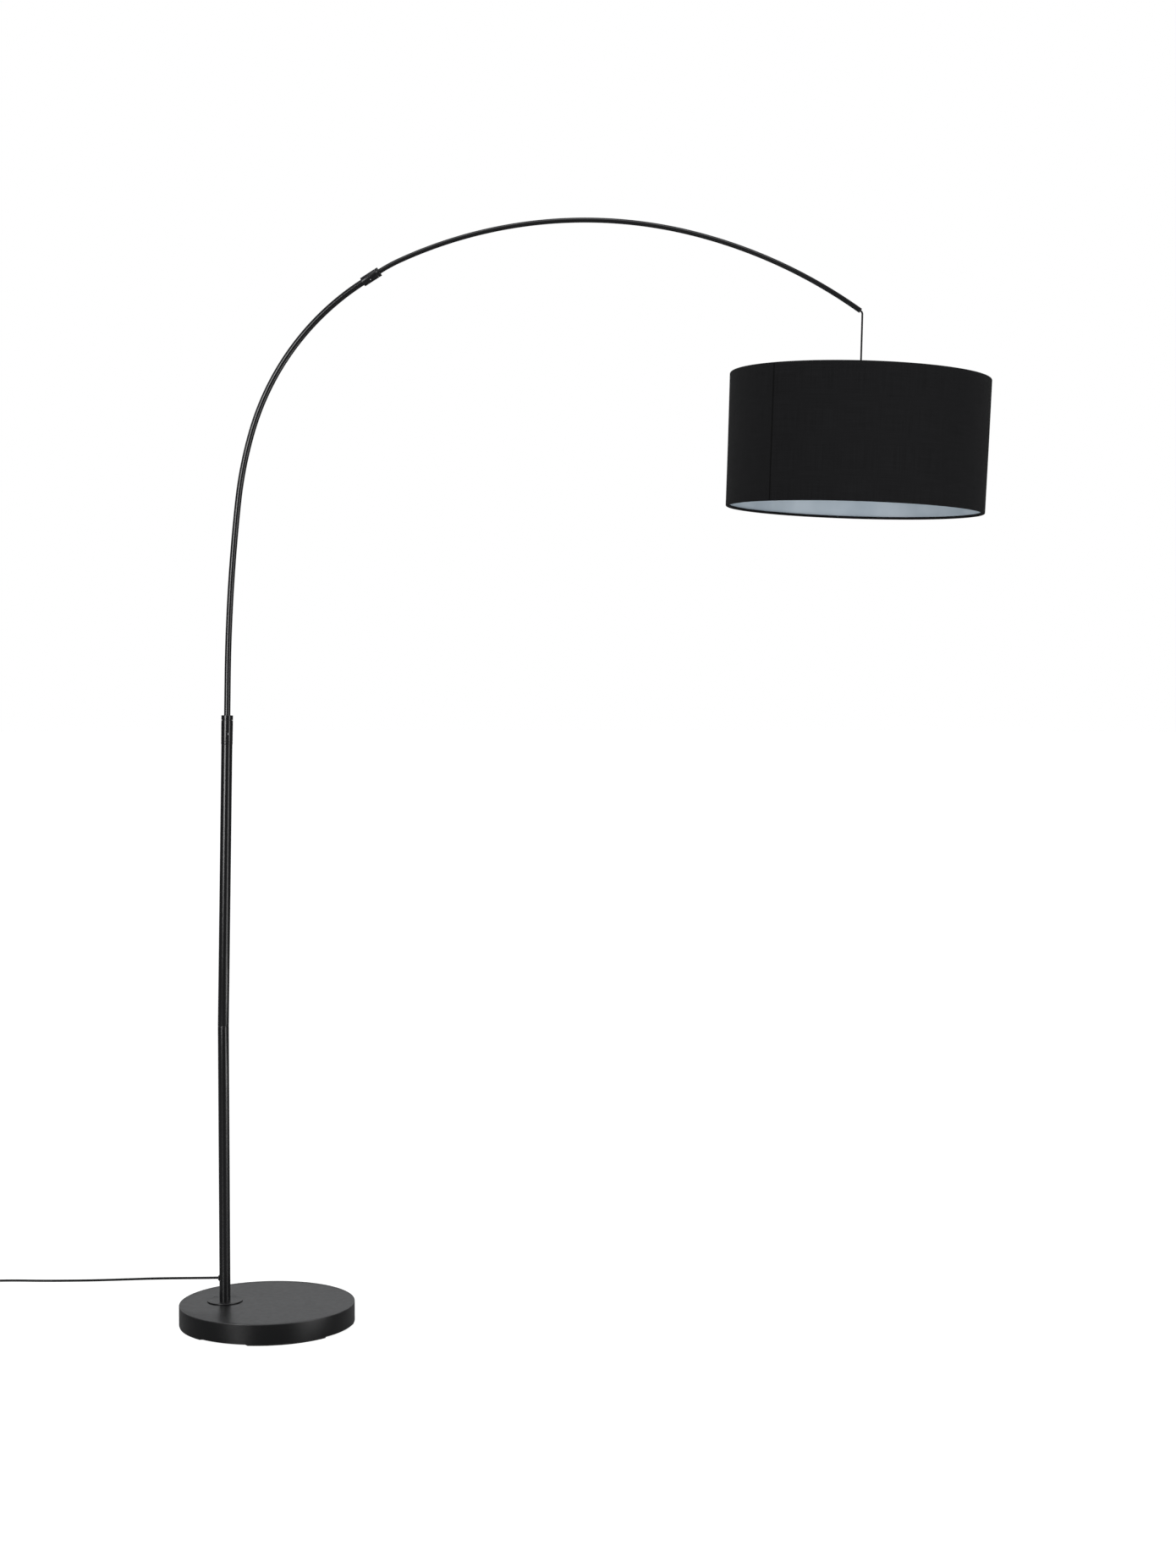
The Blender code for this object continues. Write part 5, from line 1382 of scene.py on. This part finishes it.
clamp_ring = turned("shade_clamp_ring_moulding", [
    (HOLDER_RADIUS - 0.0002, ring_high, 0.0004), (HOLDER_RADIUS - 0.0002, ring_low, 0.0006),
    (CLAMP_RING_RADIUS - 0.0010, ring_low, 0.0010), (CLAMP_RING_RADIUS, ring_low + 0.0016, 0.0003),
    (CLAMP_RING_RADIUS, ring_high - 0.0006, 0.0004), (CLAMP_RING_RADIUS - 0.0008, ring_high),
], hung, 144, knurl(36, 0.0007, CLAMP_RING_RADIUS - 0.0004))
stands_for(clamp_ring, "shade", "black_plastic", "shade_clamp_ring")

# %% [markdown]
# The lamp cap is thin brass rolled into a rounded thread, with an insulator and a contact at its
# tip. The glass is a blown globe that narrows into the cap, and it is a shell with a real wall.

# %% Bulb cap
CAP_RADIUS, BULB_CAP_LENGTH = 0.0131, 0.025
BULB_LENGTH, BULB_RADIUS, BULB_WALL = 0.080, 0.030, 0.0009
bulb_top = body_top - 0.001 - 0.014 - GAP
ROLLED_PITCH, ROLLED_RIDGES = 0.0036, 5
rolled_root = CAP_RADIUS - 0.0011
rolled = []
for ridge in range(ROLLED_RIDGES):
    crest = bulb_top - 0.0062 - ridge * ROLLED_PITCH
    rolled += [(CAP_RADIUS, crest, 0.0009), (rolled_root, crest - ROLLED_PITCH / 2, 0.0009)]
bulb_cap = turned("bulb_cap_brass", [
    (0.0, bulb_top), (0.0048, bulb_top, 0.0004), (0.0052, bulb_top - 0.0010),
    (0.0095, bulb_top - 0.0030, 0.0008),
    (rolled_root, bulb_top - 0.0044, 0.0008), *rolled,
    (CAP_RADIUS - 0.0003, bulb_top - BULB_CAP_LENGTH, 0.0004),
    (0.0, bulb_top - BULB_CAP_LENGTH),
], hung, 72)
stands_for(bulb_cap, "shade", "bulb_brass", "bulb_cap")

# %% Bulb glass
glass_top = bulb_top - BULB_CAP_LENGTH


def bulb_outline(inset):
    """From the lowest point up to the neck: a globe, a shoulder and a neck."""
    bottom = glass_top - GAP - BULB_LENGTH
    side = []
    for step in range(19):
        swing = math.radians(-90 + step * 7.6)
        side.append(((BULB_RADIUS - inset) * math.cos(swing) if step else 0.0,
                     bottom + BULB_RADIUS + (BULB_RADIUS - inset) * math.sin(swing)))
    last = Vector(side[-1])
    neck = Vector((CAP_RADIUS - 0.0008 - inset, glass_top))
    knee = Vector((neck.x + 0.0012, last.y + 0.010))
    for step in range(1, 9):
        share = step / 8
        spot = last.lerp(knee, share).lerp(knee.lerp(neck, share), share)
        side.append((spot.x, spot.y))
    return side


bulb_glass = turned("bulb_glass_opal", [*bulb_outline(BULB_WALL), *reversed(bulb_outline(0.0))],
                    hung, 72)
stands_for(bulb_glass, "shade", "frosted_glass", "bulb_glass")

# %% [markdown]
# ## The shade
# A hard-backed drum is a sheet of cloth glued to a plastic liner, rolled round two wire rings.
# The cloth is folded over each ring and glued inside, and its two ends overlap in one upright
# seam. Three facts make it read as a shade and not as a cylinder: the soft rolled rims, the step
# of the seam, and cloth that waves a fraction of a millimetre between the rings.

# %% Shade sizes
BOTTOM_RADIUS, SHADE_HEIGHT, SPIDER_DROP = 0.2489, 0.256, 0.022
shade_top = hub_top - HUB_THICKNESS / 2 + SPIDER_DROP
shade_bottom = shade_top - SHADE_HEIGHT
CLOTH, LINER_SHEET, HEM, RIM_ROLL = 0.0008, 0.0006, 0.005, 0.0022
FOLD = 0.0062
SEAM_OVERLAP, SEAM_STEP = 0.012, 0.0007


def shade_radius(height):
    return BOTTOM_RADIUS + (height - shade_bottom) / SHADE_HEIGHT * (TOP_RADIUS - BOTTOM_RADIUS)


def cloth_shape(angle, radius, height):
    """The overlap stands proud at the seam and fades away behind it; the cloth waves slightly."""
    past = (angle - SEAM_ANGLE) % (2 * math.pi) * TOP_RADIUS
    outside = radius > shade_radius(height) - CLOTH * 0.6
    if outside:
        radius += SEAM_STEP * max(0.0, 1.0 - past / SEAM_OVERLAP) ** 0.5
        level = (height - shade_bottom) / SHADE_HEIGHT
        belly = math.sin(math.pi * min(1.0, max(0.0, level)))
        radius += belly * (0.00022 * math.sin(5 * angle + 1.1)
                           + 0.00012 * math.sin(13 * angle + 0.4 + 2.0 * level))
    return radius, height


# %% Shade cloth
SHADE_STEPS = 360
BANDS = 10
levels = [shade_bottom + SHADE_HEIGHT * band / BANDS for band in range(BANDS, -1, -1)]
outer = [(shade_radius(level), level) for level in levels]
outer[0] = (*outer[0], RIM_ROLL)
outer[-1] = (*outer[-1], RIM_ROLL)
hem_low, hem_high = shade_bottom + HEM, shade_top - HEM
low_edge, high_edge = shade_radius(shade_bottom), shade_radius(shade_top)
low_hem, high_hem = shade_radius(hem_low) - FOLD, shade_radius(hem_high) - FOLD
shade_cloth = turned("shade_cloth", [
    *outer, (low_edge - FOLD, shade_bottom, RIM_ROLL * 0.7),
    (low_hem, hem_low, 0.0003), (low_hem + CLOTH, hem_low, 0.0003),
    (low_edge - FOLD + CLOTH, shade_bottom + CLOTH, 0.0008),
    (low_edge - CLOTH, shade_bottom + CLOTH, 0.0008),
    (high_edge - CLOTH, shade_top - CLOTH, 0.0008),
    (high_edge - FOLD + CLOTH, shade_top - CLOTH, 0.0008),
    (high_hem + CLOTH, hem_high, 0.0003), (high_hem, hem_high, 0.0003),
    (high_edge - FOLD, shade_top, RIM_ROLL * 0.7),
], hung, SHADE_STEPS, cloth_shape)
stands_for(shade_cloth, "shade", "black_shade_fabric", "shade_skin")

# %% Shade liner
LINER_GAP, LINER_STEP, LINER_WAVE = 0.0003, 0.0004, 0.00018
LINER_ROWS = 8


def liner_shape(angle, radius, height):
    """The liner's own overlap, opposite in sense to the cloth's, and its slight waviness."""
    past = (SEAM_ANGLE + 0.05 - angle) % (2 * math.pi) * TOP_RADIUS
    radius -= LINER_STEP * max(0.0, 1.0 - past / SEAM_OVERLAP)
    level = (height - shade_bottom) / SHADE_HEIGHT
    wave = LINER_WAVE * math.sin(math.pi * level) * (1 + math.sin(7 * angle + 3 * level))
    return radius - wave, height


liner_low, liner_high = shade_bottom + CLOTH + 0.0002, shade_top - CLOTH - 0.0002
liner_rows = [liner_high - (liner_high - liner_low) * row / LINER_ROWS
              for row in range(LINER_ROWS + 1)]
shade_liner = turned("shade_liner_sheet", [
    *[(shade_radius(height) - CLOTH - LINER_GAP, height) for height in liner_rows],
    *[(shade_radius(height) - CLOTH - LINER_GAP - LINER_SHEET, height)
      for height in reversed(liner_rows)],
], hung, 240, liner_shape)
stands_for(shade_liner, "shade", "white_liner", "shade_liner")

# %% [markdown]
# ### The spider
# Three wires carry the shade from its hub. Each is bent up from the hub to just under the folded
# hem and welded to the top ring. The hub is a pressed steel washer with rounded edges.

# %% Hub and spokes
hub = turned("spider_hub_pressing", [
    (HOLDER_RADIUS + 0.0004, hub_top, 0.0004), (HOLDER_RADIUS + 0.0004, hub_bottom, 0.0003),
    (HUB_RADIUS, hub_bottom, 0.0009), (HUB_RADIUS, hub_top, 0.0009),
], hung, 96)
stands_for(hub, "shade", "zinc_steel", "spider_hub")
SPOKE_RADIUS, FIRST_SPOKE, SPOKES = 0.0015, 50.0, 3
spoke_level = (hub_top + hub_bottom) / 2
spoke_rise = hem_high - SPOKE_RADIUS - GAP
spoke_reach = shade_radius(shade_top) - FOLD + 0.0006
for number in range(SPOKES):
    turn = math.radians(FIRST_SPOKE + 360.0 / SPOKES * number)
    line = smooth_route([
        (HUB_RADIUS - 0.0015, 0, spoke_level), (HUB_RADIUS + 0.012, 0, spoke_level + 0.0007),
        (0.125, 0, (spoke_level + spoke_rise) / 2), (spoke_reach - 0.020, 0, spoke_rise - 0.0012),
        (spoke_reach - 0.010, 0, spoke_rise - 0.0001), (spoke_reach, 0, spoke_rise)], 0.006)
    spoke = swept(f"spider_spoke_wire_{number + 1}", line, SPOKE_RADIUS,
                  place=hung @ Matrix.Rotation(turn, 4, "Z"))
    stands_for(spoke, "shade", "zinc_steel", f"spider_spoke_{number + 1}")

# %% [markdown]
# ## Pieces kept from the model
# Some pieces are hidden or are already the right shape: the weight, the plate, washers, the
# coupling, the wires inside the tubes and the rings inside the hems. They keep their model shape
# and get a proper finish.

# %% Finishes on the kept pieces
KEPT = {
    "cast_iron": ["base_weight"],
    "black_plastic": ["base_plate", "collar_ferrule", "lampholder_insert"],
    "zinc_steel": ["base_spacer", "base_washer", "foot_insert", "pole_coupling", "shade_top_ring",
                   "shade_bottom_ring"],
    "black_cable": ["pole_cable", "arm_cable"],
}
for slot_name, nodes in KEPT.items():
    for node in nodes:
        kept = frame["nodes"][node]
        kept.data.materials.clear()
        kept.data.materials.append(FINISHES[slot_name])
print(sum(map(len, KEPT.values())), "pieces kept from the model")

# %% [markdown]
# ## Floor and light
# The lamp stands on a plain pale floor that runs into a pale background. Black satin metal shows
# almost only reflections, so the light is planned for them. A lit band behind the lamp, just above
# eye level, greys the top of the base. The horizon stays dark, so that every tube keeps a dark
# edge. A tall soft box on each side draws the two upright lines on the pole, and a low card at the
# right lightens that end of the base's side. The floor and the background look white to the camera
# and are much dimmer to the lamp.

# %% Floor
def stage_material(name, seen, lit):
    """Looks one way to the camera and lights the lamp another way."""
    made = bpy.data.materials.new(name)
    made.use_nodes = True
    tree = made.node_tree
    surface = tree.nodes["Principled BSDF"]
    surface.inputs["Base Color"].default_value = (*lit, 1.0)
    surface.inputs["Roughness"].default_value = 0.35
    path = tree.nodes.new("ShaderNodeLightPath")
    bright = tree.nodes.new("ShaderNodeEmission")
    bright.inputs["Color"].default_value = (1.0, 1.0, 1.0, 1.0)
    tree.links.new(sum_of(tree, "MULTIPLY", path.outputs["Is Camera Ray"], seen),
                   bright.inputs["Strength"])
    both = tree.nodes.new("ShaderNodeAddShader")
    tree.links.new(surface.outputs[0], both.inputs[0])
    tree.links.new(bright.outputs[0], both.inputs[1])
    tree.links.new(both.outputs[0], tree.nodes["Material Output"].inputs["Surface"])
    return made


FLOOR_RADIUS = 60.0
floor_mesh = bpy.data.meshes.new("studio_floor")
floor_mesh.from_pydata([(FLOOR_RADIUS * math.cos(k * math.pi / 32),
                         FLOOR_RADIUS * math.sin(k * math.pi / 32), 0.0)
                        for k in range(64)], [], [tuple(range(64))])
floor_mesh.materials.append(stage_material("pale_floor", 0.92, (0.20, 0.20, 0.20)))
floor = bpy.data.objects.new("studio_floor", floor_mesh)
bpy.context.scene.collection.objects.link(floor)

# %% Background
world = bpy.data.worlds.new("pale_studio")
bpy.context.scene.world = world
world.use_nodes = True
sky = world.node_tree
sky.nodes.clear()
direction = sky.nodes.new("ShaderNodeTexCoord")
parts = sky.nodes.new("ShaderNodeSeparateXYZ")
sky.links.new(direction.outputs["Generated"], parts.inputs[0])
BEHIND, IN_FRONT, OVERHEAD = 1.05, 0.04, 0.32
WALL_LOW, WALL_HIGH, WALL_FADE = 0.20, 0.34, 0.05


def eased(tree, value, start, end):
    """0 at start and 1 at end, with a soft change between; end may be the lower one."""
    node = tree.nodes.new("ShaderNodeMapRange")
    node.interpolation_type = "SMOOTHSTEP"
    node.inputs["From Min"].default_value = start
    node.inputs["From Max"].default_value = end
    tree.links.new(value, node.inputs["Value"])
    return node.outputs["Result"]


# %% The lit band and what the camera sees
behind = sum_of(sky, "MULTIPLY_ADD", parts.outputs["Y"], 0.5, 0.5)
rising = eased(sky, parts.outputs["Z"], WALL_LOW, WALL_LOW + WALL_FADE)
falling = sum_of(sky, "SUBTRACT", 1.0,
                 eased(sky, parts.outputs["Z"], WALL_HIGH, WALL_HIGH + 3 * WALL_FADE))
wall = sum_of(sky, "MULTIPLY", behind, sum_of(sky, "MULTIPLY", rising, falling))
level = sum_of(sky, "MULTIPLY_ADD", wall, BEHIND, IN_FRONT)
above = sum_of(sky, "MAXIMUM", parts.outputs["Z"], 0.0)
level = sum_of(sky, "MULTIPLY_ADD", above, OVERHEAD, level)
room = sky.nodes.new("ShaderNodeBackground")
sky.links.new(level, room.inputs["Strength"])
room.inputs["Color"].default_value = (0.97, 0.985, 1.0, 1.0)
paper = sky.nodes.new("ShaderNodeBackground")
paper.inputs["Color"].default_value = (1.0, 1.0, 1.0, 1.0)
chosen = sky.nodes.new("ShaderNodeMixShader")
seen_by = sky.nodes.new("ShaderNodeLightPath")
sky.links.new(seen_by.outputs["Is Camera Ray"], chosen.inputs[0])
sky.links.new(room.outputs[0], chosen.inputs[1])
sky.links.new(paper.outputs[0], chosen.inputs[2])
world_output = sky.nodes.new("ShaderNodeOutputWorld")
sky.links.new(chosen.outputs[0], world_output.inputs["Surface"])
bpy.context.scene.view_settings.view_transform = "Standard"

# %% Soft boxes
def soft_box(name, place, target, width, height, power):
    data = bpy.data.lights.new(name, "AREA")
    data.shape = "RECTANGLE"
    data.size, data.size_y = width, height
    data.energy = power
    lamp = bpy.data.objects.new(name, data)
    lamp.location = place
    lamp.rotation_euler = (Vector(target) - Vector(place)).to_track_quat("-Z", "Y").to_euler()
    bpy.context.scene.collection.objects.link(lamp)


for name, place, target, width, height, power in (
        ("left_soft_box", (-1.35, -2.95, 1.85), (-0.08, 0.0, 1.8), 1.2, 2.4, 105.0),
        ("right_soft_box", (2.80, -1.47, 1.65), (-0.08, 0.0, 1.5), 1.1, 3.0, 44.0),
        ("overhead_soft_box", (0.4, -0.9, 3.6), (0.5, 0.0, 0.0), 2.4, 1.6, 22.0),
        ("low_right_card", (2.5, -0.5, 0.16), (0.0, 0.0, 0.0), 0.9, 0.3, 7.0)):
    soft_box(name, place, target, width, height, power)
